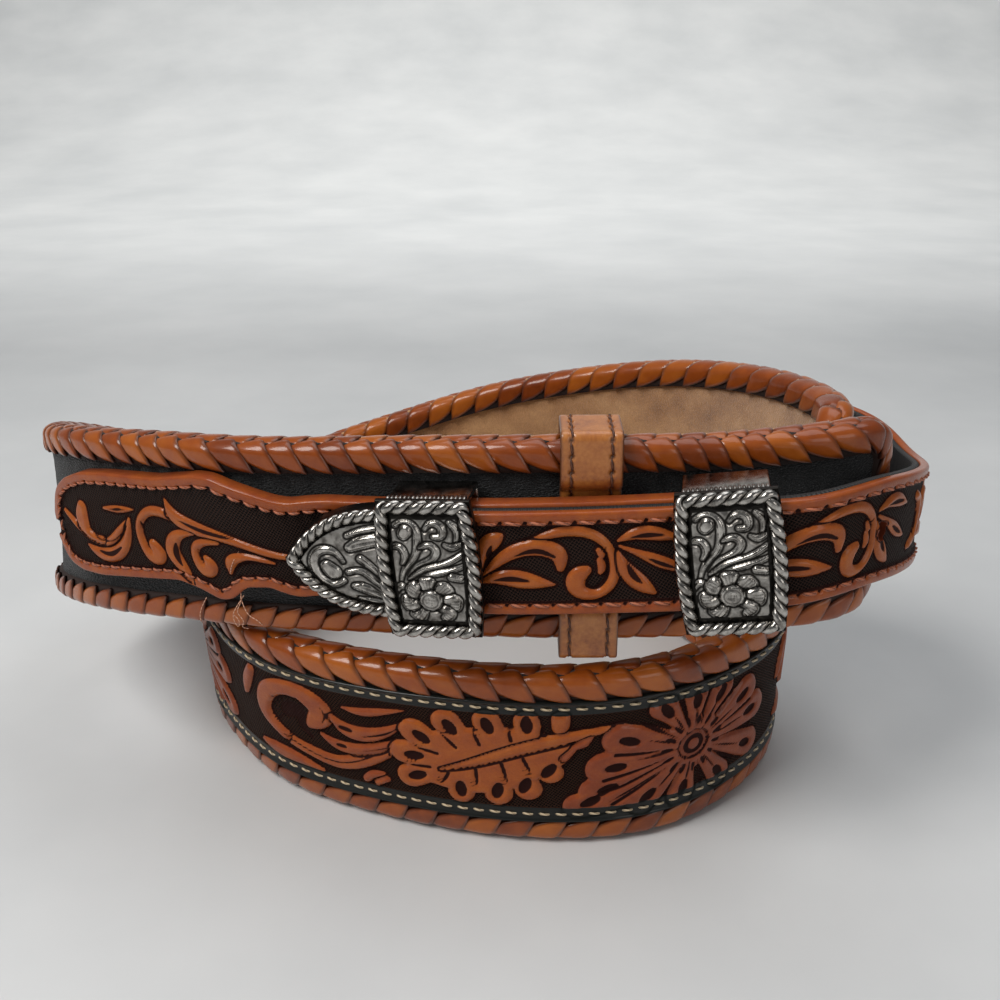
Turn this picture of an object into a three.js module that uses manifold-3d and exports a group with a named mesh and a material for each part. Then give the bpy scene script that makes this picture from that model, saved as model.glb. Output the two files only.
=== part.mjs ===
// A western ranger belt of tooled leather, lying coiled in two turns with its billet fastened.
// X runs along the front of the coil, Y to its back and Z up. Lengths are millimetres.
import * as THREE from 'three';
import { mergeVertices } from 'three/addons/utils/BufferGeometryUtils.js';
import Module from 'manifold-3d';

const wasm = await Module();
wasm.setup();

// The coil, measured along the middle of the strap.
const coilWidth = 175;
const coilDepth = 106;

// The strap: black leather lined with suede, its edges laced all round.
const beltWidth = 40;
const leatherWidth = 38.1;
const baseThickness = 2.0;
const liningThickness = 1.0;
const overlayThickness = 1.4;
const overlaySeat = 0.5;
const overlayFromEndA = 250;
const overlayShortOfTongue = 28;
const endCorner = 8;
const seat = 0.3;

// The lacing: a braided edge that grips the leather like a channel.
const laceReach = 5.6;
const laceWall = 1.55;
const laceCrownHalf = 1.2;
const laceSlack = 0.25;
const restFlat = 0.3;

// The two narrow billets that close the belt.
const billetWidth = 19.05;
const billetThickness = 3.2;
const billetGap = 0.8;
const billetEnd = 31;
const headEnd = 165.5;
const headLength = 58;
const headWidth = 21.5;
const tongueBackingThickness = 1.3;
const tongueEndLength = 11;
const punchDiameter = 3.5;
const punchFromNose = 106;

// The silver set: two keepers and a tip.
const keeperWidth = 16.2;
const keeperHeight = 25.8;
const keeperBulge = 0.9;
const keeperWall = 1.0;
const keeperClearance = 0.5;
const keeperSlack = 0.7;
const keeperSpacing = 50;
const keeperPlate = 1.3;
const ropeHeight = 1.1;
const ropeWidth = 2.0;
const tipLength = 24;
const tipShown = 18.4;
const tipHeight = 20.6;
const tipStraight = 6;
const tipWall = 0.6;
const tipLeatherThickness = 1.8;
const tipRopeHeight = 0.7;

// The tan leather loop round the buckle end, just short of the middle between the keepers.
const loopShortOfMiddle = 2.2;
const loopWidth = 10.6;
const loopThickness = 1.6;
const loopSlack = 0.3;
const loopOverLace = 1.4;
const loopStep = 1.5;
const loopSlope = 0.4;

// Lengths of one mesh step along the strap and along the billets.
const strapStep = 9;
const billetStep = 7;

// Where the strap's lower edge runs, from the buckle end round both turns to the tip end.
// x and y are shares of the coil's width and depth, lift of the belt's width, lean in degrees outwards.
const coilRows = [
  { x: 0.486, y: -0.368, lift: 1.14, lean: 1 },
  { x: 0.462, y: -0.416, lift: 1.13, lean: 1.5 },
  { x: 0.414, y: -0.45, lift: 1.115, lean: 1.5 },
  { x: 0.329, y: -0.464, lift: 1.087, lean: 1.5 },
  { x: 0.198, y: -0.478, lift: 1.085, lean: 1.5 },
  { x: 0.091, y: -0.464, lift: 1.07, lean: 2 },
  { x: -0.014, y: -0.431, lift: 1.042, lean: 3 },
  { x: -0.129, y: -0.397, lift: 1.015, lean: 4 },
  { x: -0.187, y: -0.373, lift: 1.0, lean: 4 },
  { x: -0.252, y: -0.327, lift: 0.963, lean: 2.2 },
  { x: -0.331, y: -0.268, lift: 0.912, lean: -0.7 },
  { x: -0.415, y: -0.167, lift: 0.825, lean: -4 },
  { x: -0.464, y: -0.066, lift: 0.738, lean: -8 },
  { x: -0.491, y: 0.057, lift: 0.625, lean: -12 },
  { x: -0.482, y: 0.193, lift: 0.487, lean: -10 },
  { x: -0.429, y: 0.303, lift: 0.362, lean: -6 },
  { x: -0.337, y: 0.392, lift: 0.263, lean: -3 },
  { x: -0.194, y: 0.462, lift: 0.188, lean: 0 },
  { x: -0.023, y: 0.5, lift: 0.125, lean: 0 },
  { x: 0.149, y: 0.491, lift: 0.075, lean: 0 },
  { x: 0.28, y: 0.42, lift: 0.037, lean: 0 },
  { x: 0.363, y: 0.288, lift: 0.013, lean: 0 },
  { x: 0.41, y: 0.127, lift: 0, lean: 0 },
  { x: 0.43, y: -0.042, lift: 0, lean: 0 },
  { x: 0.425, y: -0.175, lift: 0, lean: 1 },
  { x: 0.394, y: -0.288, lift: 0, lean: 2 },
  { x: 0.337, y: -0.393, lift: 0, lean: 2 },
  { x: 0.257, y: -0.473, lift: 0, lean: 2.5 },
  { x: 0.16, y: -0.496, lift: 0, lean: 4 },
  { x: 0.046, y: -0.471, lift: 0, lean: 5.5 },
  { x: -0.057, y: -0.413, lift: 0, lean: 7.5 },
  { x: -0.16, y: -0.319, lift: 0, lean: 8 },
  { x: -0.227, y: -0.193, lift: 0, lean: 6 },
  { x: -0.269, y: -0.071, lift: 0, lean: 3 },
  { x: -0.28, y: 0.052, lift: 0, lean: 0 },
  { x: -0.263, y: 0.184, lift: 0.062, lean: 0 },
  { x: -0.214, y: 0.283, lift: 0.175, lean: 0 },
  { x: -0.135, y: 0.354, lift: 0.325, lean: 0 },
  { x: -0.023, y: 0.385, lift: 0.475, lean: 0 },
  { x: 0.091, y: 0.382, lift: 0.625, lean: 0 },
  { x: 0.231, y: 0.307, lift: 0.8, lean: 0 },
  { x: 0.354, y: 0.16, lift: 0.95, lean: 0 },
  { x: 0.423, y: -0.005, lift: 1.03, lean: 0 },
  { x: 0.457, y: -0.175, lift: 1.07, lean: 0 },
  { x: 0.456, y: -0.283, lift: 1.078, lean: 0 },
  { x: 0.437, y: -0.349, lift: 1.078, lean: 0 },
];

// The tip billet leaves the strap's outer face near the tip end, at these shares of the strap's length.
const tongueSeatRows = [
  { along: 0.881, rise: 0.05 },
  { along: 0.897, rise: 0.075 },
];

// It then swings free round the buckle end, its middle on this line.
const tongueFreeRows = [
  { x: 0.4, y: 0.189, lift: 1.52 },
  { x: 0.497, y: 0.094, lift: 1.55 },
  { x: 0.554, y: -0.009, lift: 1.512 },
  { x: 0.568, y: -0.132, lift: 1.468 },
  { x: 0.56, y: -0.255, lift: 1.5 },
  { x: 0.534, y: -0.368, lift: 1.575 },
  { x: 0.494, y: -0.472, lift: 1.65 },
  { x: 0.443, y: -0.557, lift: 1.7 },
];

// Along the front both billets lie together: their distance from the buckle end, how far they spring
// off what they lie on and how far their middle rises above the strap's, as shares of the belt's width.
const frontRows = [
  { along: 0.131, spring: 0.166, rise: 0.11 },
  { along: 0.189, spring: 0.121, rise: 0.09 },
  { along: 0.246, spring: 0.071, rise: 0.06 },
  { along: 0.309, spring: 0.027, rise: 0.03 },
  { along: 0.377, spring: 0.022, rise: 0.02 },
  { along: 0.457, spring: 0.005, rise: 0.012 },
  { along: 0.543, spring: 0, rise: 0.02 },
  { along: 0.59, spring: 0, rise: 0.033 },
  { along: 0.615, spring: 0, rise: 0.041 },
];

// The buckle billet's scalloped head, sewn down: shares of the head's length from its round end,
// and of its width above and below the strap's middle.
const headRows = [
  { from: 0, above: 0.093, below: 0.14 },
  { from: 0.021, above: 0.256, below: 0.302 },
  { from: 0.06, above: 0.372, below: 0.395 },
  { from: 0.121, above: 0.465, below: 0.447 },
  { from: 0.224, above: 0.549, below: 0.46 },
  { from: 0.345, above: 0.572, below: 0.437 },
  { from: 0.569, above: 0.572, below: 0.409 },
  { from: 0.655, above: 0.605, below: 0.465 },
  { from: 0.724, above: 0.646, below: 0.544 },
  { from: 0.767, above: 0.646, below: 0.512 },
  { from: 0.819, above: 0.586, below: 0.372 },
  { from: 0.897, above: 0.521, below: 0.344 },
];

// The tip billet's outline at its sewn end and inside the silver tip, as shares of its width.
const tongueStartRows = [
  { from: 0, width: 0.3 },
  { from: 1.2, width: 0.62 },
  { from: 3.5, width: 0.88 },
  { from: 7, width: 1 },
];
const tongueEndShare = 0.84;
const tongueThroatShare = 0.95;

// A curve through its knots without a kink in its bend.
function smoothCurve(knots, values) {
  const last = knots.length - 1;
  const bend = new Array(last + 1).fill(0);
  const carry = new Array(last + 1).fill(0);
  for (let i = 1; i < last; i += 1) {
    const before = knots[i] - knots[i - 1];
    const after = knots[i + 1] - knots[i];
    const share = before / (before + after);
    const pivot = share * bend[i - 1] + 2;
    const jump = (values[i + 1] - values[i]) / after - (values[i] - values[i - 1]) / before;
    bend[i] = (share - 1) / pivot;
    carry[i] = ((6 * jump) / (before + after) - share * carry[i - 1]) / pivot;
  }
  for (let i = last - 1; i > 0; i -= 1) bend[i] = bend[i] * bend[i + 1] + carry[i];
  bend[0] = 0;
  return (at) => {
    let i = 0;
    while (i < last - 1 && knots[i + 1] < at) i += 1;
    const span = knots[i + 1] - knots[i];
    const a = (knots[i + 1] - at) / span;
    const b = 1 - a;
    const sag = ((a ** 3 - a) * bend[i] + (b ** 3 - b) * bend[i + 1]) * span * span / 6;
    return a * values[i] + b * values[i + 1] + sag;
  };
}

// Straight steps between the rows of a table.
function stepped(rows, key, value, at) {
  const next = rows.findIndex((row) => row[key] > at);
  if (next < 0) return rows[rows.length - 1][value];
  if (next === 0) return rows[0][value];
  const low = rows[next - 1];
  const high = rows[next];
  return low[value] + ((high[value] - low[value]) * (at - low[key])) / (high[key] - low[key]);
}

// A strap's course: a point, the way it runs, its outward side and its upright, at each length.
class Course {
  constructor(rows) {
    const knots = [0];
    for (let i = 1; i < rows.length; i += 1) {
      const step = Math.hypot(...['x', 'y', 'z'].map((k) => rows[i][k] - rows[i - 1][k]));
      knots.push(knots[i - 1] + step);
    }
    const columns = ['x', 'y', 'z', 'lean'].map((k) => smoothCurve(knots, rows.map((row) => row[k])));
    const samples = rows.length * 40;
    this.points = [];
    this.lengths = [0];
    for (let i = 0; i <= samples; i += 1) {
      const at = (knots[knots.length - 1] * i) / samples;
      this.points.push(columns.map((column) => column(at)));
      if (i > 0) {
        const step = Math.hypot(...[0, 1, 2].map((k) => this.points[i][k] - this.points[i - 1][k]));
        this.lengths.push(this.lengths[i - 1] + step);
      }
    }
    this.length = this.lengths[samples];
  }

  sample(at) {
    const along = Math.min(Math.max(at, 0), this.length);
    let low = 0;
    let high = this.lengths.length - 1;
    while (high - low > 1) {
      const middle = (low + high) >> 1;
      if (this.lengths[middle] > along) high = middle;
      else low = middle;
    }
    const share = (along - this.lengths[low]) / (this.lengths[high] - this.lengths[low]);
    return this.points[low].map((value, k) => value + (this.points[high][k] - value) * share);
  }

  frame(at) {
    const inside = Math.min(Math.max(at, 0), this.length);
    const [x, y, z, lean] = this.sample(inside);
    const reach = 1;
    const ahead = new THREE.Vector3(...this.sample(inside + reach));
    const run = ahead.sub(new THREE.Vector3(...this.sample(inside - reach))).normalize();
    const level = new THREE.Vector3(-run.y, run.x, 0).normalize();
    const upright = new THREE.Vector3().crossVectors(run, level);
    const angle = THREE.MathUtils.degToRad(lean);
    const up = upright.clone().multiplyScalar(Math.cos(angle)).addScaledVector(level, Math.sin(angle));
    const out = level.clone().multiplyScalar(Math.cos(angle)).addScaledVector(upright, -Math.sin(angle));
    const point = new THREE.Vector3(x, y, z).addScaledVector(run, at - inside);
    return { point, run, out, up };
  }

  place(at, outward, height) {
    const { point, out, up } = this.frame(at);
    return point.addScaledVector(out, outward).addScaledVector(up, height);
  }

  // The length at which this course passes closest to a point.
  nearest({ x, y, z }) {
    let best = 0;
    let least = Infinity;
    this.points.forEach((p, i) => {
      const distance = Math.hypot(p[0] - x, p[1] - y, p[2] - z);
      if (distance < least) {
        least = distance;
        best = this.lengths[i];
      }
    });
    return best;
  }
}

// A closed body through rings of points that share one section. Its two sides are split alike, so that
// faces which lie against each other on a twisted strap stay parallel.
function bodyThrough(rings, section) {
  const size = section.length;
  const positions = rings.flat().flatMap((p) => [p.x, p.y, p.z]);
  const faces = [];
  for (let r = 0; r < rings.length - 1; r += 1) {
    for (let i = 0; i < size; i += 1) {
      const j = (i + 1) % size;
      const [a, b] = [r * size + i, r * size + j];
      const [c, d] = [b + size, a + size];
      if (i < size / 2) faces.push(a, b, c, a, c, d);
      else faces.push(a, b, d, b, c, d);
    }
  }
  const cap = THREE.ShapeUtils.triangulateShape(section.map(([a, b]) => new THREE.Vector2(a, b)), []);
  const end = (rings.length - 1) * size;
  cap.forEach(([a, b, c]) => faces.push(a, c, b, end + a, end + b, end + c));
  const geometry = new THREE.BufferGeometry();
  geometry.setAttribute('position', new THREE.Float32BufferAttribute(positions, 3));
  geometry.setIndex(faces);
  return facingOut(geometry);
}

// Turns a closed body right side out.
function facingOut(geometry) {
  const index = geometry.index.array;
  const corner = (i) => new THREE.Vector3().fromBufferAttribute(geometry.attributes.position, index[i]);
  let volume = 0;
  for (let i = 0; i < index.length; i += 3) volume += corner(i).dot(corner(i + 1).cross(corner(i + 2)));
  if (volume < 0) {
    for (let i = 0; i < index.length; i += 3) [index[i], index[i + 1]] = [index[i + 1], index[i]];
  }
  return geometry;
}

function solidOf(geometry) {
  const bare = geometry.clone();
  bare.deleteAttribute('normal');
  bare.deleteAttribute('uv');
  const merged = mergeVertices(bare, 1e-4);
  return new wasm.Manifold(new wasm.Mesh({
    numProp: 3,
    vertProperties: new Float32Array(merged.attributes.position.array),
    triVerts: new Uint32Array(merged.index.array),
  }));
}

function geometryOf(solid) {
  const { vertProperties, triVerts } = solid.getMesh();
  const geometry = new THREE.BufferGeometry();
  geometry.setAttribute('position', new THREE.BufferAttribute(new Float32Array(vertProperties), 3));
  geometry.setIndex(new THREE.BufferAttribute(new Uint32Array(triVerts), 1));
  return geometry;
}

// Stops between two lengths at about the given step.
function stopsBetween(from, to, step) {
  const count = Math.max(1, Math.round((to - from) / step));
  return Array.from({ length: count + 1 }, (_, i) => from + ((to - from) * i) / count);
}

const coil = new Course(coilRows.map(({ x, y, lift, lean }) => ({
  x: x * coilWidth, y: y * coilDepth, z: lift * beltWidth, lean,
})));
const stackHalf = (baseThickness + seat + liningThickness) / 2;
const laceHalf = stackHalf + laceSlack + laceWall;
const edgeCap = (beltWidth - leatherWidth) / 2;
const middle = beltWidth / 2;
const sewnOut = stackHalf + seat + billetThickness / 2;
const keeperLift = keeperWall + keeperSlack + seat;
const billetPitch = billetThickness + billetGap;

// Every layer of the strap and its lacing bend at the same stops, so that they nest.
const strapStops = stopsBetween(endCorner, coil.length - endCorner, strapStep);
const cornerTurns = [0, 30, 60, 90].map(THREE.MathUtils.degToRad);

// A flat layer of the strap, inset from the belt's edges and with its ends rounded by the given corner.
function layer(from, to, outward, thickness, edge, corner) {
  const turn = cornerTurns.slice(0, -1).map((angle) => corner * (1 - Math.cos(angle)));
  const stops = [
    ...turn.map((d) => from + d),
    from + corner,
    ...strapStops.filter((at) => at > from + corner + 1 && at < to - corner - 1),
    to - corner,
    ...turn.map((d) => to - d).reverse(),
  ];
  const unique = [...new Set(stops)];
  const rings = unique.map((at) => {
    const inset = Math.max(0, corner - Math.min(at - from, to - at));
    const low = edge + corner - Math.sqrt(corner * corner - inset * inset);
    const [inner, outer] = [outward - thickness / 2, outward + thickness / 2];
    const rises = [low, middle, beltWidth - low];
    return [
      coil.place(at, inner, low),
      ...rises.map((height) => coil.place(at, outer, height)),
      coil.place(at, inner, beltWidth - low),
      coil.place(at, inner, middle),
    ];
  });
  return bodyThrough(rings, [[0, 0], [1, 0], [1, 1], [1, 2], [0, 2], [0, 1]]);
}

// The line of the leather's edge over one half of the strap, with the way off the leather at each stop.
function edgeLine(side) {
  const top = beltWidth - edgeCap;
  const arc = cornerTurns.map((angle) => Math.PI - angle);
  const stop = (along, height, turn) => ({ along, height, offAlong: Math.cos(turn), offUp: Math.sin(turn) });
  const bendAt = (centre, turn) => stop(
    centre + endCorner * Math.cos(turn), top - endCorner + endCorner * Math.sin(turn), turn,
  );
  const straight = strapStops.slice(1, -1);
  const half = [
    stop(0, middle + seat / 2, Math.PI),
    ...arc.map((turn) => bendAt(endCorner, turn)),
    ...straight.map((along) => stop(along, top, Math.PI / 2)),
    ...arc.map((turn) => bendAt(coil.length - endCorner, Math.PI - turn)).reverse(),
    stop(coil.length, middle + seat / 2, 0),
  ];
  if (side > 0) return half;
  return half.map((s) => ({ ...s, height: beltWidth - s.height, offUp: -s.offUp }));
}

// The room that the leather takes in its lacing.
function leatherRoom() {
  const thickness = 2 * (stackHalf + laceSlack);
  const [from, to] = [-laceSlack, coil.length + laceSlack];
  return solidOf(layer(from, to, 0, thickness, edgeCap - laceSlack, endCorner + laceSlack));
}

function lacing(side) {
  const root = edgeCap - laceReach;
  const shoulder = laceReach * 0.4;
  const half = [
    [laceHalf - seat, root], [laceHalf, -shoulder], [laceHalf - seat, edgeCap * 0.4], [laceCrownHalf, edgeCap],
  ];
  const section = [...half, ...half.map(([out, off]) => [-out, off]).reverse()];
  const rings = edgeLine(side).map((stop) => section.map(([out, off]) => coil.place(
    stop.along + stop.offAlong * off, out, stop.height + stop.offUp * off,
  )));
  return solidOf(bodyThrough(rings, section)).subtract(leatherRoom());
}

// The lower lacing lies on the table, which flattens it a little.
function restingLacing() {
  const pad = beltWidth;
  const table = new THREE.BoxGeometry(2 * coilWidth, 2 * coilDepth, pad);
  table.translate(0, 0, restFlat - pad / 2);
  return lacing(-1).subtract(solidOf(table));
}

// How far the billets stand off the strap and above its middle at a length from the buckle end.
const frontKnots = frontRows.map((row) => row.along * coilWidth);
const springAt = smoothCurve(frontKnots, frontRows.map((row) => row.spring * beltWidth));
const riseAt = smoothCurve(frontKnots, frontRows.map((row) => row.rise * beltWidth));
const frontFrom = frontKnots[0];
const frontTo = frontKnots[frontKnots.length - 1];

function buckleBillet() {
  const neck = headEnd - headLength;
  const headStops = headRows.map((row) => headEnd - row.from * headLength).reverse();
  const stops = [...stopsBetween(billetEnd, neck, billetStep), ...headStops];
  const rings = stops.map((at) => {
    const from = (headEnd - at) / headLength;
    const settled = THREE.MathUtils.smoothstep(at, neck, neck + tipLength);
    const spring = at < frontTo ? springAt(Math.max(at, frontFrom)) : 0;
    const out = sewnOut + spring + keeperLift * (1 - settled);
    const strapMiddle = middle + riseAt(Math.min(Math.max(at, frontFrom), frontTo));
    const inHead = at > neck;
    const low = inHead ? middle - stepped(headRows, 'from', 'below', from) * headWidth
      : strapMiddle - billetWidth / 2;
    const high = inHead ? middle + stepped(headRows, 'from', 'above', from) * headWidth
      : strapMiddle + billetWidth / 2;
    const [inner, outer] = [out - billetThickness / 2, out + billetThickness / 2];
    return [[inner, low], [outer, low], [outer, high], [inner, high]]
      .map(([o, height]) => coil.place(at, o, height));
  });
  return bodyThrough(rings, [[0, 0], [1, 0], [1, 1], [0, 1]]);
}

const tongueSeated = tongueSeatRows.map(({ along, rise }) => {
  const at = along * coil.length;
  const { x, y, z } = coil.place(at, sewnOut, middle + rise * beltWidth);
  return { x, y, z, lean: 0 };
});
const tongueFree = tongueFreeRows.map(({ x, y, lift }) => ({
  x: x * coilWidth, y: y * coilDepth, z: lift * beltWidth, lean: 0,
}));
const tongueFront = frontRows.map(({ along, spring, rise }) => {
  const at = along * coilWidth;
  const out = sewnOut + keeperLift + billetPitch + spring * beltWidth;
  const { x, y, z } = coil.place(at, out, middle + rise * beltWidth);
  return { x, y, z, lean: coil.sample(at)[3] };
});
const tongue = new Course([...tongueSeated, ...tongueFree, ...tongueFront]);
const leatherEnd = tongue.length - tipLength + tongueEndLength;
const keeperOneAt = tongue.length - tipShown - keeperWidth / 2;

// The tip is rigid and takes its aim from its own middle; its throat is at x 0.
const tipAxes = axesAt(tongue, tongue.length - tipLength / 2)
  .multiply(new THREE.Matrix4().makeTranslation(-tipLength / 2, 0, 0));

// The tip billet is two layers: tooled leather outside and black leather behind it.
function tongueLayer(inner, outer) {
  const throat = tongue.length - tipLength;
  const starts = tongueStartRows.map((row) => row.from);
  const seatedFrom = starts[starts.length - 1];
  const stops = [
    ...starts.slice(0, -1),
    ...stopsBetween(seatedFrom, throat - billetStep / 2, billetStep),
    throat,
    leatherEnd,
  ];
  const rings = stops.map((at) => {
    const thin = at < throat ? 1 : tipLeatherThickness / billetThickness;
    const narrow = at < throat ? 1 : tongueThroatShare;
    const share = at > throat ? tongueEndShare : stepped(tongueStartRows, 'from', 'width', at) * narrow;
    const half = (billetWidth / 2) * share;
    const spot = at < throat ? (out, height) => tongue.place(at, out, height)
      : (out, height) => new THREE.Vector3(at - throat, out, height).applyMatrix4(tipAxes);
    return [[inner * thin, -half], [outer * thin, -half], [outer * thin, half], [inner * thin, half]]
      .map(([out, height]) => spot(out, height));
  });
  return solidOf(bodyThrough(rings, [[0, 0], [1, 0], [1, 1], [0, 1]])).subtract(punchedHole());
}

function punchedHole() {
  const { point, out } = tongue.frame(tongue.length - punchFromNose);
  const pin = new THREE.CylinderGeometry(punchDiameter / 2, punchDiameter / 2, 3 * billetThickness, 12);
  pin.applyQuaternion(new THREE.Quaternion().setFromUnitVectors(new THREE.Vector3(0, 1, 0), out));
  pin.translate(point.x, point.y, point.z);
  return solidOf(pin);
}

// The axes of a rigid piece on a course: along it, outward and upright.
function axesAt(course, at) {
  const { point, run, out, up } = course.frame(at);
  return new THREE.Matrix4().makeBasis(run, out, up).setPosition(point);
}

// A shape in the outward and upright directions, drawn out along the strap from -length/2.
function drawnAlong(shape, length) {
  const geometry = new THREE.ExtrudeGeometry(shape, { depth: length, bevelEnabled: false });
  const [run, out, up] = [new THREE.Vector3(1, 0, 0), new THREE.Vector3(0, 1, 0), new THREE.Vector3(0, 0, 1)];
  geometry.translate(0, 0, -length / 2);
  return solidOf(geometry.applyMatrix4(new THREE.Matrix4().makeBasis(out, up, run)));
}

// A shape in the along and upright directions, raised outward between two depths.
function raisedOut(shape, from, to, curveSegments = 6) {
  const geometry = new THREE.ExtrudeGeometry(shape, { depth: to - from, bevelEnabled: false, curveSegments });
  const [run, out, up] = [new THREE.Vector3(1, 0, 0), new THREE.Vector3(0, -1, 0), new THREE.Vector3(0, 0, 1)];
  geometry.applyMatrix4(new THREE.Matrix4().makeBasis(run, up, out));
  return solidOf(geometry.translate(0, to, 0));
}

function rectangle(left, right, low, high, Kind = THREE.Shape) {
  return new Kind([[left, low], [right, low], [right, high], [left, high]].map((p) => new THREE.Vector2(...p)));
}

// The keeper's face: straight top and bottom, sides that swell at the middle.
function keeperFace(inset, Kind = THREE.Shape) {
  const half = keeperWidth / 2 - inset;
  const high = keeperHeight / 2 - inset;
  const bulge = half + 2 * keeperBulge;
  const face = new Kind();
  face.moveTo(-half, -high);
  face.lineTo(half, -high);
  face.quadraticCurveTo(bulge, 0, half, high);
  face.lineTo(-half, high);
  face.quadraticCurveTo(-bulge, 0, -half, -high);
  return face;
}

function keeper(at) {
  const innerHigh = Math.max(billetWidth, tipHeight) / 2 + keeperClearance;
  const tongueHalf = Math.max(billetThickness, tipLeatherThickness + 2 * (tipWall + seat)) / 2;
  const innerFront = tongueHalf + keeperSlack;
  const innerBack = -billetThickness / 2 - billetPitch - keeperSlack;
  const outerHigh = keeperHeight / 2 - ropeWidth / 2;
  const band = rectangle(innerBack - keeperWall, innerFront + keeperPlate, -outerHigh, outerHigh);
  band.holes.push(rectangle(innerBack, innerFront, -innerHigh, innerHigh, THREE.Path));
  const rim = keeperFace(0);
  rim.holes.push(keeperFace(ropeWidth, THREE.Path));
  const front = innerFront + keeperPlate;
  const solid = drawnAlong(band, keeperWidth - ropeWidth)
    .add(raisedOut(keeperFace(0), innerFront, front))
    .add(raisedOut(rim, innerFront + keeperPlate / 2, front + ropeHeight));
  return geometryOf(solid).applyMatrix4(axesAt(tongue, at));
}

// The tip's outline: straight from its throat, then two curves that meet at the nose.
function tipFace(inset) {
  const high = tipHeight / 2 - inset;
  const nose = tipLength - 1.4 * inset;
  const pull = tipLength * 0.77 - inset;
  const face = new THREE.Shape();
  face.moveTo(0, -high);
  face.lineTo(tipStraight, -high);
  face.quadraticCurveTo(pull, -high, nose, 0);
  face.quadraticCurveTo(pull, high, tipStraight, high);
  face.lineTo(0, high);
  return face;
}

function silverTip() {
  const half = tipLeatherThickness / 2 + seat + tipWall;
  const pocketHalf = tipLeatherThickness / 2 + seat;
  const throatHigh = (billetWidth / 2) * tongueThroatShare + seat;
  const endHigh = (billetWidth / 2) * tongueEndShare + seat;
  const pocketEnd = tongueEndLength + seat;
  const pocket = new THREE.Shape([
    [-seat, -throatHigh], [pocketEnd, -endHigh], [pocketEnd, endHigh], [-seat, throatHigh],
  ].map((p) => new THREE.Vector2(...p)));
  const rimWidth = ropeWidth * 0.8;
  const rimFrom = tipLength - tipShown + keeperBulge + 2 * seat;
  const [low, high] = [half - tipWall / 2, half + tipRopeHeight];
  const shownPart = (inset) => raisedOut(tipFace(inset), low, high).intersect(
    raisedOut(rectangle(rimFrom + inset, tipLength, -tipHeight, tipHeight), low, high),
  );
  const solid = raisedOut(tipFace(0), -half, half)
    .add(shownPart(0).subtract(shownPart(rimWidth)))
    .subtract(raisedOut(pocket, -pocketHalf, pocketHalf));
  return geometryOf(solid).applyMatrix4(tipAxes);
}

// The tan loop's outline at a depth of its skin: it goes over both laced edges and dips to the leather
// between them.
function loopOutline(skin) {
  const over = laceHalf + loopSlack + skin;
  const dip = stackHalf + loopSlack + skin;
  const end = loopSlack + skin;
  const edge = laceReach + loopOverLace + loopSlope * skin;
  const step = edge + loopStep;
  return [
    [-over, -end], [over, -end], [over, edge], [dip, step],
    [dip, beltWidth - step], [over, beltWidth - edge], [over, beltWidth + end], [-over, beltWidth + end],
  ].map((p) => new THREE.Vector2(...p));
}

function tanLoop() {
  const ring = new THREE.Shape(loopOutline(loopThickness));
  ring.holes.push(new THREE.Path(loopOutline(0)));
  const between = tongue.frame(keeperOneAt - keeperSpacing / 2 - loopShortOfMiddle).point;
  return geometryOf(drawnAlong(ring, loopWidth)).applyMatrix4(axesAt(coil, coil.nearest(between)));
}

const blackLeather = { color: 0x1b1a19, roughness: 0.8, metalness: 0 };
const suede = { color: 0xa07a4e, roughness: 0.95, metalness: 0 };
const tooledLeather = { color: 0x9a4a24, roughness: 0.45, metalness: 0 };
const lace = { color: 0xb4521f, roughness: 0.35, metalness: 0 };
const tanLeather = { color: 0xb9692c, roughness: 0.4, metalness: 0 };
const silver = { color: 0xb9babb, roughness: 0.3, metalness: 1 };

const belt = new THREE.Group();
function piece(name, geometry, finish) {
  const mesh = new THREE.Mesh(geometry, new THREE.MeshStandardMaterial(finish));
  mesh.name = name;
  belt.add(mesh);
}

const baseOut = stackHalf - baseThickness / 2;
const liningOut = liningThickness / 2 - stackHalf;
const overlayOut = stackHalf + overlaySeat + overlayThickness / 2;
const overlayTo = tongueSeatRows[0].along * coil.length - overlayShortOfTongue;
const tongueFace = billetThickness / 2;
const tongueSplit = tongueBackingThickness - tongueFace;

piece('base_strap', layer(0, coil.length, baseOut, baseThickness, edgeCap, endCorner), blackLeather);
piece('suede_lining', layer(0, coil.length, liningOut, liningThickness, edgeCap, endCorner), suede);
piece('tooled_overlay', layer(
  overlayFromEndA, overlayTo, overlayOut, overlayThickness, laceReach + seat, endCorner / 4,
), tooledLeather);
piece('edge_lacing_top', geometryOf(lacing(1)), lace);
piece('edge_lacing_bottom', geometryOf(restingLacing()), lace);
piece('buckle_billet', buckleBillet(), tooledLeather);
piece('tip_billet', geometryOf(tongueLayer(tongueSplit + seat, tongueFace)), tooledLeather);
piece('tip_billet_backing', geometryOf(tongueLayer(-tongueFace, tongueSplit)), blackLeather);
piece('keeper_near_tip', keeper(keeperOneAt), silver);
piece('keeper_near_bend', keeper(keeperOneAt - keeperSpacing), silver);
piece('silver_tip', silverTip(), silver);
piece('tan_loop', tanLoop(), tanLeather);

// The belt stands on Z 0, over the middle of its own outline.
const outline = new THREE.Box3().setFromObject(belt);
const centre = outline.getCenter(new THREE.Vector3());
belt.position.set(-centre.x, -centre.y, -outline.min.z);

export default belt;
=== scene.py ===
import math

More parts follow.
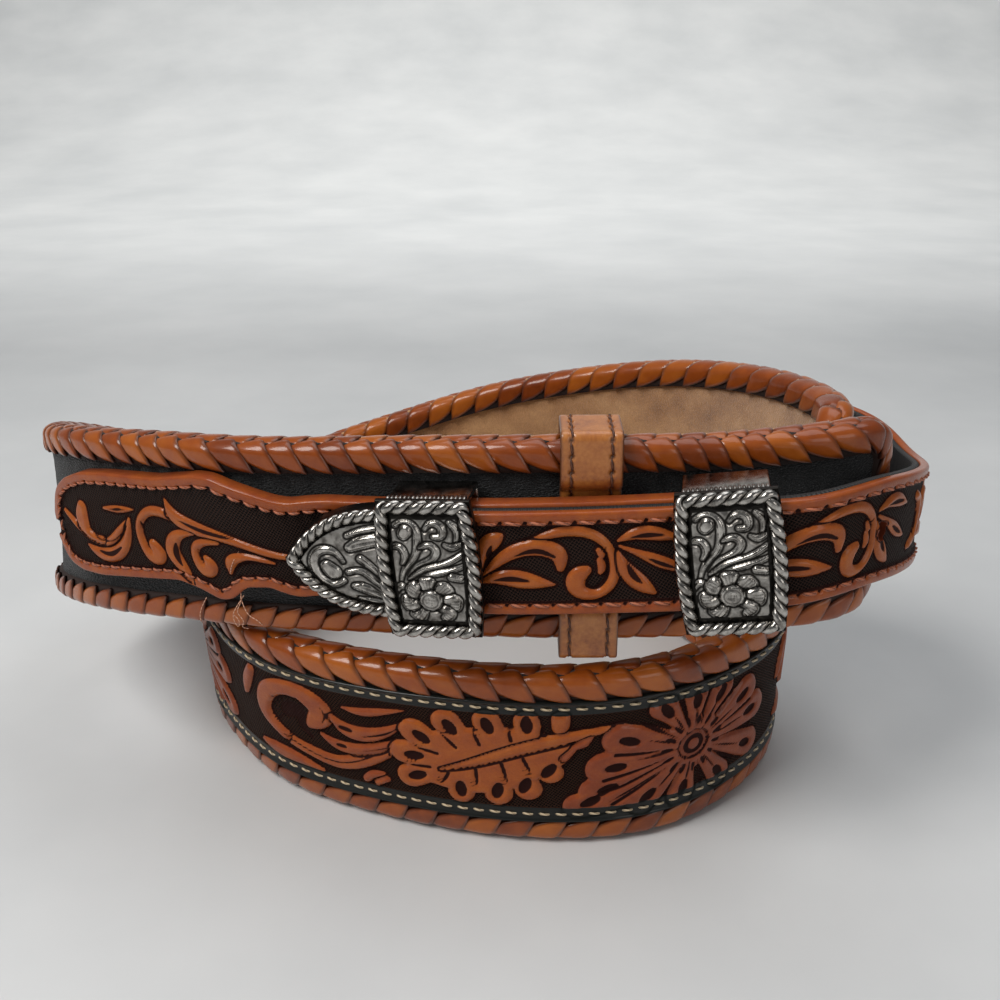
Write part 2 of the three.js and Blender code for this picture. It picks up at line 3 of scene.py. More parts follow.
import bpy
import numpy as np
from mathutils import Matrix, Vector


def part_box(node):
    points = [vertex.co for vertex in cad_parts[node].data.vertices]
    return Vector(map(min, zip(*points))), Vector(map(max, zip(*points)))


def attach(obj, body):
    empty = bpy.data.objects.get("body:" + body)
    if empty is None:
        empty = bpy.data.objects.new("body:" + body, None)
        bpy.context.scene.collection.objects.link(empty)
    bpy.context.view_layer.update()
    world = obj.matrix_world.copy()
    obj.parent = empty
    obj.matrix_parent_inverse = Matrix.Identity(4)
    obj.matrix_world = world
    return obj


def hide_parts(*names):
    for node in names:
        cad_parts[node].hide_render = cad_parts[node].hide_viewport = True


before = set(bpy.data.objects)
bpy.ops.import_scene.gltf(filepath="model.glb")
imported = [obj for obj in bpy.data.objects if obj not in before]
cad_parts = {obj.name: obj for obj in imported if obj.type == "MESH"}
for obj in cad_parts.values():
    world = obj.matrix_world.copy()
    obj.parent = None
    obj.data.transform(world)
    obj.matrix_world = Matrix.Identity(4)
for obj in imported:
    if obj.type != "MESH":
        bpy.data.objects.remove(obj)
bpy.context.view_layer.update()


# THE COURSE OF THE STRAP
# Every leather layer is cut flat and then laid along this course: the lower edge of the strap, from its
# buckle end round both turns of the coil to its tip end. Sizes are millimetres, as they are in the part.
# x and y are shares of the coil's width and depth, lift is a share of the belt's width, lean is degrees.
COIL_WIDTH, COIL_DEPTH, BELT_WIDTH = 175, 106, 40
COIL_ROWS = [
    (0.486, -0.368, 1.14, 1), (0.462, -0.416, 1.13, 1.5), (0.414, -0.45, 1.115, 1.5),
    (0.329, -0.464, 1.087, 1.5), (0.198, -0.478, 1.085, 1.5), (0.091, -0.464, 1.07, 2),
    (-0.014, -0.431, 1.042, 3), (-0.129, -0.397, 1.015, 4), (-0.187, -0.373, 1.0, 4),
    (-0.252, -0.327, 0.963, 2.2), (-0.331, -0.268, 0.912, -0.7), (-0.415, -0.167, 0.825, -4),
    (-0.464, -0.066, 0.738, -8), (-0.491, 0.057, 0.625, -12), (-0.482, 0.193, 0.487, -10),
    (-0.429, 0.303, 0.362, -6), (-0.337, 0.392, 0.263, -3), (-0.194, 0.462, 0.188, 0),
    (-0.023, 0.5, 0.125, 0), (0.149, 0.491, 0.075, 0), (0.28, 0.42, 0.037, 0),
    (0.363, 0.288, 0.013, 0), (0.41, 0.127, 0, 0), (0.43, -0.042, 0, 0),
    (0.425, -0.175, 0, 1), (0.394, -0.288, 0, 2), (0.337, -0.393, 0, 2),
    (0.257, -0.473, 0, 2.5), (0.16, -0.496, 0, 4), (0.046, -0.471, 0, 5.5),
    (-0.057, -0.413, 0, 7.5), (-0.16, -0.319, 0, 8), (-0.227, -0.193, 0, 6),
    (-0.269, -0.071, 0, 3), (-0.28, 0.052, 0, 0), (-0.263, 0.184, 0.062, 0),
    (-0.214, 0.283, 0.175, 0), (-0.135, 0.354, 0.325, 0), (-0.023, 0.385, 0.475, 0),
    (0.091, 0.382, 0.625, 0), (0.231, 0.307, 0.8, 0), (0.354, 0.16, 0.95, 0),
    (0.423, -0.005, 1.03, 0), (0.457, -0.175, 1.07, 0), (0.456, -0.283, 1.078, 0),
    (0.437, -0.349, 1.078, 0),
]


def smooth_curve(knots, values):
    """A curve through its knots without a kink in its bend."""
    knots, values = np.asarray(knots, float), np.asarray(values, float)
    span = np.diff(knots)
    slope = np.diff(values) / span
    matrix = np.eye(len(knots))
    pull = np.zeros(len(knots))
    for i in range(1, len(knots) - 1):
        matrix[i, i - 1:i + 2] = span[i - 1], 2 * (span[i - 1] + span[i]), span[i]
        pull[i] = 6 * (slope[i] - slope[i - 1])
    bend = np.linalg.solve(matrix, pull)

    def at(x):
        i = np.clip(np.searchsorted(knots, x) - 1, 0, len(span) - 1)
        a = (knots[i + 1] - x) / span[i]
        b = 1 - a
        sag = ((a ** 3 - a) * bend[i] + (b ** 3 - b) * bend[i + 1]) * span[i] ** 2 / 6
        return a * values[i] + b * values[i + 1] + sag

    return at


class Course:
    """Points of a strap by its length, with the way it runs, its outward side and its upright."""

    def __init__(self, rows):
        rows = np.array(rows, float)
        chords = np.linalg.norm(np.diff(rows[:, :3], axis=0), axis=1)
        knots = np.concatenate([[0], np.cumsum(chords)])
        at = np.linspace(0, knots[-1], len(rows) * 40 + 1)
        self.points = np.stack([smooth_curve(knots, rows[:, k])(at) for k in range(4)], 1)
        steps = np.linalg.norm(np.diff(self.points[:, :3], axis=0), axis=1)
        self.lengths = np.concatenate([[0], np.cumsum(steps)])
        self.length = self.lengths[-1]

    def sample(self, at):
        at = np.clip(at, 0, self.length)
        return np.stack([np.interp(at, self.lengths, self.points[:, k]) for k in range(4)], -1)

    def axes(self, at):
        at = np.asarray(at, float)
        inside = np.clip(at, 0, self.length)
        here = self.sample(inside)
        run = self.sample(inside + 1)[..., :3] - self.sample(inside - 1)[..., :3]
        run /= np.linalg.norm(run, axis=-1, keepdims=True)
        level = np.stack([-run[..., 1], run[..., 0], 0 * run[..., 0]], -1)
        level /= np.linalg.norm(level, axis=-1, keepdims=True)
        upright = np.cross(run, level)
        lean = np.radians(here[..., 3:4])
        up = upright * np.cos(lean) + level * np.sin(lean)
        out = level * np.cos(lean) - upright * np.sin(lean)
        point = here[..., :3] + run * (at - inside)[..., None]
        return point, run, out, up

    def place(self, at, outward, height):
        point, _, out, up = self.axes(at)
        return point + out * np.asarray(outward)[..., None] + up * np.asarray(height)[..., None]


coil = Course([(x * COIL_WIDTH, y * COIL_DEPTH, lift * BELT_WIDTH, lean) for x, y, lift, lean in COIL_ROWS])

# The layers of the strap: suede inside, black leather outside it, rounded at both ends.
BASE, LINING, SEAT, END_CORNER, EDGE_CAP = 2.0, 1.0, 0.3, 8, 0.95
STACK_HALF = (BASE + SEAT + LINING) / 2
STRAP_STEP = 9


def end_inset(at, length, corner=END_CORNER):
    """How far the rounded ends draw the strap's edges in at a length."""
    short = np.clip(corner - np.minimum(at, length - at), 0, corner)
    return corner - np.sqrt(corner ** 2 - short ** 2)


def cad_origin():
    """Where the part's own origin lies, from its black strap, which bends at these same stops."""
    turn = END_CORNER * (1 - np.cos(np.radians([0, 30, 60])))
    inner = coil.length - 2 * END_CORNER
    steps = np.linspace(END_CORNER, coil.length - END_CORNER, round(inner / STRAP_STEP) + 1)
    at = np.concatenate([turn, steps, coil.length - turn])
    low = EDGE_CAP + end_inset(at, coil.length)
    corners = [coil.place(at, out + 0 * at, height) for out in (STACK_HALF - BASE, STACK_HALF)
               for height in (low, BELT_WIDTH / 2 + 0 * at, BELT_WIDTH - low)]
    return np.array(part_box("base_strap")[0]) * 1000 - np.concatenate(corners).min(0)


ORIGIN = cad_origin()


# THE CAMERA AND THE ROOM
# The photograph looks down at the coil from close by; a plain pale table and soft lights are all around it.
CAMERA_PITCH, CAMERA_LENS = 22, 38.88
CAMERA_AT = np.array([16, -226.5, 141.7]) + ORIGIN
bpy.ops.object.select_all(action="DESELECT")
bpy.ops.object.camera_add(location=CAMERA_AT / 1000, rotation=(math.radians(90 - CAMERA_PITCH), 0, 0))
camera = bpy.context.object
camera.data.lens = CAMERA_LENS
camera.data.sensor_width = 36
camera.data.clip_start = 0.01
bpy.context.scene.camera = camera

TABLE_HALF, TABLE_FRONT, TABLE_BEND, TABLE_RISE = 3.0, -1.6, 0.9, 1.6
bpy.ops.object.select_all(action="DESELECT")
bpy.ops.mesh.primitive_grid_add(x_subdivisions=1, y_subdivisions=60, size=2)
table = bpy.context.object
table.name = "table"
spread = np.empty(len(table.data.vertices) * 3)
table.data.vertices.foreach_get("co", spread)
spread = spread.reshape(-1, 3)
run = TABLE_FRONT + (spread[:, 1] + 1) / 2 * (TABLE_BEND - TABLE_FRONT + TABLE_RISE * np.pi / 2 + 2)
arc = np.clip((run - TABLE_BEND) / TABLE_RISE, 0, np.pi / 2)
above = np.clip(run - TABLE_BEND - TABLE_RISE * np.pi / 2, 0, None)
spread = np.stack([spread[:, 0] * TABLE_HALF, np.minimum(run, TABLE_BEND) + TABLE_RISE * np.sin(arc),
                   TABLE_RISE * (1 - np.cos(arc)) + above - 0.0002], 1)
table.data.vertices.foreach_set("co", spread.ravel())
bpy.ops.object.shade_smooth()


def new_material(name, color=(0.5, 0.5, 0.5), roughness=0.5, metallic=0.0, coat=0.0, sheen=0.0, shine=0.5):
    """A material with its main values on the shader's own sockets."""
    material = bpy.data.materials.new(name)
    material.use_nodes = True
    shader = material.node_tree.nodes["Principled BSDF"]
    shader.inputs["Base Color"].default_value = (*color, 1)
    shader.inputs["Roughness"].default_value = roughness
    shader.inputs["Metallic"].default_value = metallic
    shader.inputs["Coat Weight"].default_value = coat
    shader.inputs["Coat Roughness"].default_value = 0.14
    shader.inputs["Specular IOR Level"].default_value = shine
    shader.inputs["Sheen Weight"].default_value = sheen
    return material, material.node_tree, shader


def node(tree, kind, links=None, **settings):
    """A shader node with its settings, its named inputs set or linked."""
    made = tree.nodes.new("ShaderNode" + kind)
    for key, value in settings.items():
        setattr(made, key, value)
    for key, value in (links or {}).items():
        if isinstance(value, bpy.types.NodeSocket):
            tree.links.new(value, made.inputs[key])
        else:
            made.inputs[key].default_value = value
    return made


def ramp(tree, factor, *stops):
    """Colours along a factor: (place, (r, g, b)) for each stop."""
    made = node(tree, "ValToRGB", {"Fac": factor})
    elements = made.color_ramp.elements
    while len(elements) < len(stops):
        elements.new(0.5)
    for element, (place, color) in zip(elements, stops):
        element.position = place
        element.color = (*color, 1)
    return made.outputs["Color"]


def math_node(tree, operation, a, b=0.0, clamp=False):
    return node(tree, "Math", {0: a, 1: b}, operation=operation, use_clamp=clamp).outputs[0]


def blend(tree, factor, a, b, kind="MIX"):
    made = node(tree, "Mix", {0: factor, 6: a, 7: b}, data_type="RGBA", blend_type=kind)
    return made.outputs[2]


def bump(tree, shader, height, strength, distance):
    """Puts a height in millimetres into the shader's normal."""
    made = node(tree, "Bump", {"Height": height, "Strength": strength, "Distance": distance / 1000})
    tree.links.new(made.outputs["Normal"], shader.inputs["Normal"])
    return made


def noise(tree, vector, scale, detail=3, roughness=0.55):
    made = node(tree, "TexNoise", {"Vector": vector, "Scale": scale, "Detail": detail, "Roughness": roughness})
    return made.outputs["Fac"]


table_material, tree, shader = new_material("pale_table", (0.60, 0.61, 0.61), 0.55)
where = node(tree, "TexCoord").outputs["Object"]
cloud = noise(tree, where, 9, 5)
tree.links.new(ramp(tree, cloud, (0.3, (0.56, 0.57, 0.575)), (0.7, (0.66, 0.665, 0.665))),
               shader.inputs["Base Color"])
table.data.materials.append(table_material)

world = bpy.data.worlds.new("room")
world.use_nodes = True
world.node_tree.nodes["Background"].inputs["Color"].default_value = (0.86, 0.89, 0.92, 1)
world.node_tree.nodes["Background"].inputs["Strength"].default_value = 0.19
bpy.context.scene.world = world
bpy.context.scene.view_settings.view_transform = "Standard"


def soft_light(name, at, aim, size, power, color):
    bpy.ops.object.light_add(type="AREA", location=at)
    lamp = bpy.context.object
    lamp.name = name
    lamp.data.shape = "RECTANGLE"
    lamp.data.size, lamp.data.size_y = size
    lamp.data.energy = power
    lamp.data.color = color
    way = np.array(aim, float) - np.array(at, float)
    lamp.rotation_euler = (math.atan2(math.hypot(way[0], way[1]), -way[2]), 0, math.atan2(-way[0], way[1]))


soft_light("window", (-0.45, -0.35, 0.75), (0, 0, 0.03), (0.34, 0.5), 6.2, (1, 0.98, 0.95))
soft_light("ceiling", (0.15, 0.15, 0.95), (0, 0, 0.03), (0.9, 0.6), 3.6, (0.96, 0.98, 1))
soft_light("fill", (0.6, -0.8, 0.35), (0, 0, 0.04), (0.5, 0.5), 1.4, (1, 0.97, 0.94))
soft_light("backdrop", (0, 0.5, 1.0), (0, 2.4, 0.7), (1.6, 0.6), 26, (1, 1, 0.98))


# HOW A LAYER IS CUT AND LAID
# A layer is a flat strip whose x runs to the viewer's right, y up and z outwards. It is wrapped round its
# own thickness, closed at both ends and then laid along a course, where x is the length counted back.
def new_grid(name, columns, rows):
    """A flat grid, with the column and row of each of its points."""
    bpy.ops.object.select_all(action="DESELECT")
    bpy.ops.mesh.primitive_grid_add(x_subdivisions=columns - 1, y_subdivisions=rows - 1, size=2)
    made = bpy.context.object
    made.name = made.data.name = name
    flat = points_of(made)
    column = np.rint((flat[:, 0] + 1) / 2 * (columns - 1)).astype(int)
    row = np.rint((flat[:, 1] + 1) / 2 * (rows - 1)).astype(int)
    return made, column, row


def points_of(piece):
    flat = np.empty(len(piece.data.vertices) * 3)
    piece.data.vertices.foreach_get("co", flat)
    return flat.reshape(-1, 3)


def set_points(piece, points):
    piece.data.vertices.foreach_set("co", np.asarray(points, np.float32).ravel())
    piece.data.update()


def mark(piece, name, values):
    """Keeps a value, or a place on the flat leather, at each point of a piece for its material."""
    values = np.asarray(values, np.float32)
    kind = "FLOAT_VECTOR" if values.ndim == 2 else "FLOAT"
    layer = piece.data.attributes.get(name) or piece.data.attributes.new(name, kind, "POINT")
    layer.data.foreach_set("vector" if values.ndim == 2 else "value", values.ravel())


def close_up(piece, caps=True):
    """Joins the strip's first and last rows, closes its ends and smooths it."""
    bpy.ops.object.select_all(action="DESELECT")
    bpy.context.view_layer.objects.active = piece
    piece.select_set(True)
    bpy.ops.object.mode_set(mode="EDIT")
    bpy.ops.mesh.select_all(action="SELECT")
    bpy.ops.mesh.remove_doubles(threshold=1e-6)
    if caps:
        bpy.ops.mesh.select_all(action="DESELECT")
        bpy.ops.mesh.select_non_manifold()
        bpy.ops.mesh.edge_face_add()
    bpy.ops.mesh.select_all(action="SELECT")
    bpy.ops.mesh.normals_make_consistent(inside=False)
    bpy.ops.object.mode_set(mode="OBJECT")
    bpy.ops.object.shade_smooth()


def laid(course, flat):
    """Flat points (x right, y up, z out) laid on a course whose length runs to the viewer's left."""
    return (course.place(-flat[:, 0], flat[:, 2], flat[:, 1]) + ORIGIN) / 1000


def dress(piece, slot, nodes, *materials):
    """Gives a finished piece its materials and its body, and hides the part's nodes that it stands for."""
    for material in materials:
        piece.data.materials.append(material)
    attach(piece, "root")
    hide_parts(*nodes)


def strap_layer(name, step, face_rows, inner, outer, edge, rough=0.0, seed=1):
    """A layer of the strap between two depths, with its narrow edges rounded a little."""
    stations = np.concatenate([[0, 0.5, 1.5, 3, 5], np.arange(END_CORNER, coil.length - END_CORNER, step),
                               coil.length - np.array([END_CORNER, 5, 3, 1.5, 0.5, 0])])
    rise = np.linspace(0, 1, face_rows)
    middle = (inner + outer) / 2
    shares = np.concatenate([rise, [1], rise[::-1], [0], [0]])
    depths = np.concatenate([np.full(face_rows, outer), [middle], np.full(face_rows, inner), [middle], [outer]])
    lifts = np.concatenate([0 * rise, [0.25], 0 * rise, [-0.25], [0]])
    piece, column, row = new_grid(name, len(stations), len(shares))
    at = stations[::-1][column]
    low = edge + end_inset(at, coil.length)
    height = low + (BELT_WIDTH - 2 * low) * shares[row] + lifts[row]
    depth = depths[row].copy()
    if rough:
        wander = np.random.default_rng(seed).normal(0, rough, (len(stations), len(shares)))
        wander[:, -1] = wander[:, 0]
        depth += wander[column, row] * (np.abs(shares[row] - 0.5) < 0.499)
    flat = np.stack([-at, height, depth], 1)
    mark(piece, "flat", flat)
    set_points(piece, laid(coil, flat))
    close_up(piece)
    return piece


# THE BLACK STRAP
# The body of the belt is a strap of black leather with its napped side out, coarse and a little shiny.
# It shows between the lacing and the billets, and at the buckle end.
black_leather, tree, shader = new_material("black_napped_leather", (0.016, 0.016, 0.017), 0.62, sheen=0.12,
                                           shine=0.35)
where = node(tree, "Attribute", attribute_name="flat").outputs["Vector"]
fibre = node(tree, "Mapping", {"Vector": where, "Scale": (1.6, 3.2, 1.0), "Rotation": (0, 0, 0.35)}).outputs[0]
nap = node(tree, "TexVoronoi", {"Vector": fibre, "Scale": 0.95}, feature="F1").outputs["Distance"]
fine = noise(tree, where, 3.2, 4)
fleck = noise(tree, fibre, 2.4, 2)
tree.links.new(ramp(tree, fleck, (0.45, (0.006, 0.006, 0.007)), (0.62, (0.015, 0.016, 0.016)),
                    (0.80, (0.070, 0.073, 0.077))), shader.inputs["Base Color"])
tree.links.new(ramp(tree, fleck, (0.4, (0.8, 0.8, 0.8)), (0.72, (0.34, 0.34, 0.34))),
               shader.inputs["Roughness"])
bump(tree, shader, math_node(tree, "ADD", nap, fine), 0.9, 0.42)
base_strap = strap_layer("black_strap", 1.5, 27, STACK_HALF - BASE, STACK_HALF, EDGE_CAP, 0.035, 3)
dress(base_strap, "black_leather", ["base_strap"], black_leather)


# THE SUEDE LINING
# The inside of the strap is lined with tan suede, which is soft, patchy and shows loose fibres.
suede_material, tree, shader = new_material("tan_suede", (0.42, 0.28, 0.16), 0.95, sheen=0.5)
where = node(tree, "Attribute", attribute_name="flat").outputs["Vector"]
patch = noise(tree, where, 0.12, 3)
fibre = node(tree, "Mapping", {"Vector": where, "Scale": (2.2, 0.9, 1.0), "Rotation": (0, 0, 0.5)}).outputs[0]
nap = noise(tree, fibre, 2.2, 5, 0.7)
mottle = math_node(tree, "ADD", math_node(tree, "MULTIPLY", patch, 0.55),
                   math_node(tree, "MULTIPLY", nap, 0.45))
tree.links.new(ramp(tree, mottle, (0.34, (0.25, 0.105, 0.033)), (0.5, (0.46, 0.225, 0.082)),
                    (0.66, (0.64, 0.350, 0.150))), shader.inputs["Base Color"])
bump(tree, shader, nap, 0.8, 0.5)
lining = strap_layer("suede_lining_sheet", 1.3, 28, -STACK_HALF, LINING - STACK_HALF, EDGE_CAP, 0.06, 5)
dress(lining, "suede", ["suede_lining"], suede_material)


# THE EDGE LACING
# Flat leather lace is braided over the whole edge. On each face broad strands slant away from the slits
# that they come out of, and over the crown of the edge the strands of the two faces cross.
LACE_ROOT, LACE_CORE_HALF, LACE_CORE_TURN, LACE_CORE_RISE = 5.2, 2.45, 1.6, 1.45
LACE_PITCHES = [(0, 4.8), (200, 5.0), (400, 6.1), (700, 6.1), (900, 5.8)]
LACE_THICK, LACE_LEAD = 0.62, 4.6
CROWN = LACE_ROOT - LACE_CORE_TURN + 3.65
lace_random = np.random.default_rng(11)

lace_material, tree, shader = new_material("orange_lace", (0.5, 0.16, 0.05), 0.34, coat=0.5, shine=0.2)
where = node(tree, "TexCoord").outputs["Object"]
# This material's dark marks on the lace are painted shade: the strands' edges and ends are darkened where the
# strands meet and where they dive into the slits.
ink = node(tree, "Attribute", attribute_name="ink").outputs["Fac"]
tone = node(tree, "Attribute", attribute_name="tone").outputs["Fac"]
stain = noise(tree, where, 260, 4)
body = ramp(tree, math_node(tree, "ADD", math_node(tree, "MULTIPLY", tone, 0.6),
                            math_node(tree, "MULTIPLY", stain, 0.4)),
            (0.25, (0.130, 0.021, 0.003)), (0.5, (0.265, 0.054, 0.005)), (0.78, (0.400, 0.106, 0.010)))
tree.links.new(blend(tree, ink, body, (0.035, 0.010, 0.006, 1)), shader.inputs["Base Color"])
pores = noise(tree, where, 2600, 3)
tree.links.new(ramp(tree, pores, (0.35, (0.44, 0.44, 0.44)), (0.7, (0.28, 0.28, 0.28))),
               shader.inputs["Roughness"])
bump(tree, shader, math_node(tree, "ADD", pores, math_node(tree, "MULTIPLY", stain, 2.0)), 0.22, 0.12)
gap_material, tree, shader = new_material("lace_in_shadow", (0.022, 0.009, 0.006), 0.75)


def edge_line(e, side):
    """The strap's rounded outline by its own length: place along and up, and the way off the leather."""
    wall = BELT_WIDTH / 2 - EDGE_CAP - END_CORNER
    arc = END_CORNER * math.pi / 2
    straight = coil.length - 2 * END_CORNER
    top = BELT_WIDTH - EDGE_CAP
    e = np.asarray(e, float)
    far = e > wall + arc + straight / 2
    mirrored = np.where(far, 2 * (wall + arc) + straight - e, e)
    turn = np.pi - np.clip((mirrored - wall) / END_CORNER, 0, np.pi / 2)
    along = END_CORNER + END_CORNER * np.cos(turn) + np.clip(mirrored - wall - arc, 0, None)
    height = top - END_CORNER + END_CORNER * np.sin(turn) + np.clip(mirrored - wall, None, 0)
    off_along, off_up = np.cos(turn), np.sin(turn)
    along = np.where(far, coil.length - along, along)
    off_along = np.where(far, -off_along, off_along)
    if side < 0:
        return along, BELT_WIDTH - height, off_along, -off_up
    return along, height, off_along, off_up


EDGE_LENGTH = 2 * (BELT_WIDTH / 2 - EDGE_CAP - END_CORNER + END_CORNER * math.pi / 2) + coil.length - 2 * END_CORNER


def lace_section(q, rise):
    """A place over the edge: q from the outer slit over the crown, rise above the lace core."""
    straight = LACE_ROOT - LACE_CORE_TURN
    angle = np.clip((q - straight) / (CROWN - straight) * np.pi / 2, 0, np.pi)
    back = np.clip(q - (2 * CROWN - straight), 0, None)
    out = LACE_CORE_HALF * np.cos(angle)
    off = -LACE_CORE_TURN + LACE_CORE_RISE * np.sin(angle) - np.clip(straight - q, 0, None) - back
    return out + rise * np.cos(angle), off + rise * np.sin(angle)


def over_edge(e, q, rise, side):
    out, off = lace_section(q, rise)
    along, height, off_along, off_up = edge_line(e, side)
    return (coil.place(along + off_along * off, out, height + off_up * off) + ORIGIN) / 1000


def joined_copies(name, points, faces, marks):
    """One mesh of many copies: points is (copies, points, 3), faces belong to one copy."""
    copies, size = points.shape[:2]
    mesh = bpy.data.meshes.new(name)
    corners = (np.arange(copies)[:, None, None] * size + faces[None]).reshape(-1, faces.shape[1])
    mesh.from_pydata(points.reshape(-1, 3), [], corners.tolist())
    piece = bpy.data.objects.new(name, mesh)
    bpy.context.scene.collection.objects.link(piece)
    for key, values in marks.items():
        mark(piece, key, values.reshape(-1))
    mesh.polygons.foreach_set("use_smooth", np.ones(len(mesh.polygons), bool))
    return piece


STRAND_ALONG, STRAND_ROUND = 15, 14


def strand_faces():
    faces = []
    for i in range(STRAND_ALONG - 1):
        for j in range(STRAND_ROUND):
            k = (j + 1) % STRAND_ROUND
            faces.append([i * STRAND_ROUND + j, i * STRAND_ROUND + k,
                          (i + 1) * STRAND_ROUND + k, (i + 1) * STRAND_ROUND + j])
    return np.array(faces)


def lace_strands(side, front):
    """All the strands of one face: each is a lace with a rounded back that narrows into its slit."""
    starts = []
    at = 0.8 if front else 0.8 + LACE_PITCHES[0][1] / 2
    while at < EDGE_LENGTH - 1:
        starts.append(at)
        at += float(np.interp(at, *np.array(LACE_PITCHES).T))
    starts = np.array(starts)
    pitch = np.interp(starts, *np.array(LACE_PITCHES).T)
    t = np.linspace(0, 1, STRAND_ALONG)[None, :, None]
    ring = np.arange(STRAND_ROUND) * 2 * np.pi / STRAND_ROUND
    across, dome = np.cos(ring)[None, None], np.sin(ring)[None, None]
    reach = CROWN + (0.9 if front else 2.2)
    wide = np.interp(t, [0, 0.06, 0.17, 0.33, 0.8, 1], [0.10, 0.36, 0.70, 1.0, 1.0, 0.8])
    full = 0.535 * pitch[:, None, None] * (1 + lace_random.normal(0, 0.02, (len(starts), 1, 1)))
    half = full * wide
    lead = LACE_LEAD * (1 + lace_random.normal(0, 0.03, (len(starts), 1, 1)))
    q = reach * t + 0 * half + 0.26 * across * half
    dive = np.interp(t, [0, 0.04, 0.12, 0.75 if front else 0.8, 1], [0.12, 0.25, 0.26, 0.1, -0.7])
    thick = LACE_THICK * np.interp(t, [0, 0.1, 0.3, 0.8, 1], [0.7, 1.0, 1.0, 0.9, 0.6])
    flat_top = np.sqrt(np.clip(1 - np.abs(across) ** 5, 0, 1))
    rise = dive + np.where(dome > 0, thick * flat_top, -0.25 * np.abs(dome)) + 0.13 * across
    e = starts[:, None, None] + lead * t ** 0.9 - 0.94 * across * half - 0.75 * (full - half)
    rise, q, e = np.broadcast_arrays(rise, q, e)
    if not front:
        q = 2 * CROWN - q
    points = over_edge(e, np.clip(q, -0.5, 2 * CROWN + 0.5), rise, side)
    points = points.reshape(len(starts), -1, 3)
    # Each strand's long edges and both its ends are painted dark: painted shade in the grooves between the strands
    # and where each strand dives into its slit.
    edge = np.clip((np.abs(across) - 0.80) / 0.16, 0, 1) * 0.95 + 0 * half
    ends = np.interp(t, [0, 0.06, 0.14, 0.85, 1], [0.9, 0.35, 0, 0.05, 0.7]) + 0 * half
    ink_value = np.clip(edge + ends, 0, 1).reshape(len(starts), -1)
    tone_value = np.broadcast_to(lace_random.uniform(0.25, 0.85, (len(starts), 1)), ink_value.shape)
    return points, ink_value, tone_value


def lacing(name, side):
    fronts, backs = lace_strands(side, True), lace_strands(side, False)
    faces = strand_faces()
    points = np.concatenate([fronts[0], backs[0]])
    piece = joined_copies(name, points, faces, {"ink": np.concatenate([fronts[1], backs[1]]),
                                                "tone": np.concatenate([fronts[2], backs[2]])})
    piece.data.materials.append(lace_material)
    piece.data.materials.append(gap_material)
    # The core under the strands takes the dark lace_in_shadow material: painted shadow beneath and between the
    # strands.
    core, column, row = new_grid(name + "_core", int(EDGE_LENGTH / 2.5), 15)
    e = column / (int(EDGE_LENGTH / 2.5) - 1) * EDGE_LENGTH
    q = np.concatenate([np.linspace(-0.1, 2 * CROWN + 0.1, 14), [-0.1]])[row]
    set_points(core, over_edge(e, q, -0.05 + 0 * q, side))
    close_up(core)
    core.data.materials.append(lace_material)
    core.data.materials.append(gap_material)
    core.data.polygons.foreach_set("material_index", np.ones(len(core.data.polygons), np.int32))
    bpy.ops.object.select_all(action="DESELECT")
    core.select_set(True)
    piece.select_set(True)
    bpy.context.view_layer.objects.active = piece
    bpy.ops.object.join()
    bpy.ops.object.mode_set(mode="EDIT")
    bpy.ops.mesh.select_all(action="SELECT")
    bpy.ops.mesh.normals_make_consistent(inside=False)
    bpy.ops.object.mode_set(mode="OBJECT")
    return piece


lacing_top = lacing("braided_lacing_top", 1)
dress(lacing_top, "orange_lace", ["edge_lacing_top"])
lacing_bottom = lacing("braided_lacing_bottom", -1)
dress(lacing_bottom, "orange_lace", ["edge_lacing_bottom"])


# HOW LEATHER IS CARVED
# A carved layer is a strip with a close grid on its face. Each stroke swells or cuts the face, and keeps
# at its points how much dark ink, matted ground and pale tone its leather shows.
def drawn(rows, fine=0.3):
    """The close dots of a stroke that runs through its (x, y, half width) rows."""
    rows = np.array(rows, float)
    knots = np.concatenate([[0], np.cumsum(np.hypot(*np.diff(rows[:, :2], axis=0).T))])
    at = np.linspace(0, knots[-1], max(int(knots[-1] / fine), 2) + 1)
    return np.stack([smooth_curve(knots, rows[:, k])(at) for k in range(3)], 1)


def depth_in(x, y, strokes):
    """How far inside a group of strokes each point lies; outside it is below zero."""
    deep = np.full(len(x), -9.0)
    for rows in strokes:
        dots = drawn(rows)
        reach = dots[:, 2].max() + 1.4
        near = np.flatnonzero((x > dots[:, 0].min() - reach) & (x < dots[:, 0].max() + reach)
                              & (y > dots[:, 1].min() - reach) & (y < dots[:, 1].max() + reach))
        if len(near):
            gap = np.hypot(x[near, None] - dots[:, 0], y[near, None] - dots[:, 1])
            deep[near] = np.maximum(deep[near], (dots[:, 2] - gap).max(1))
    return deep


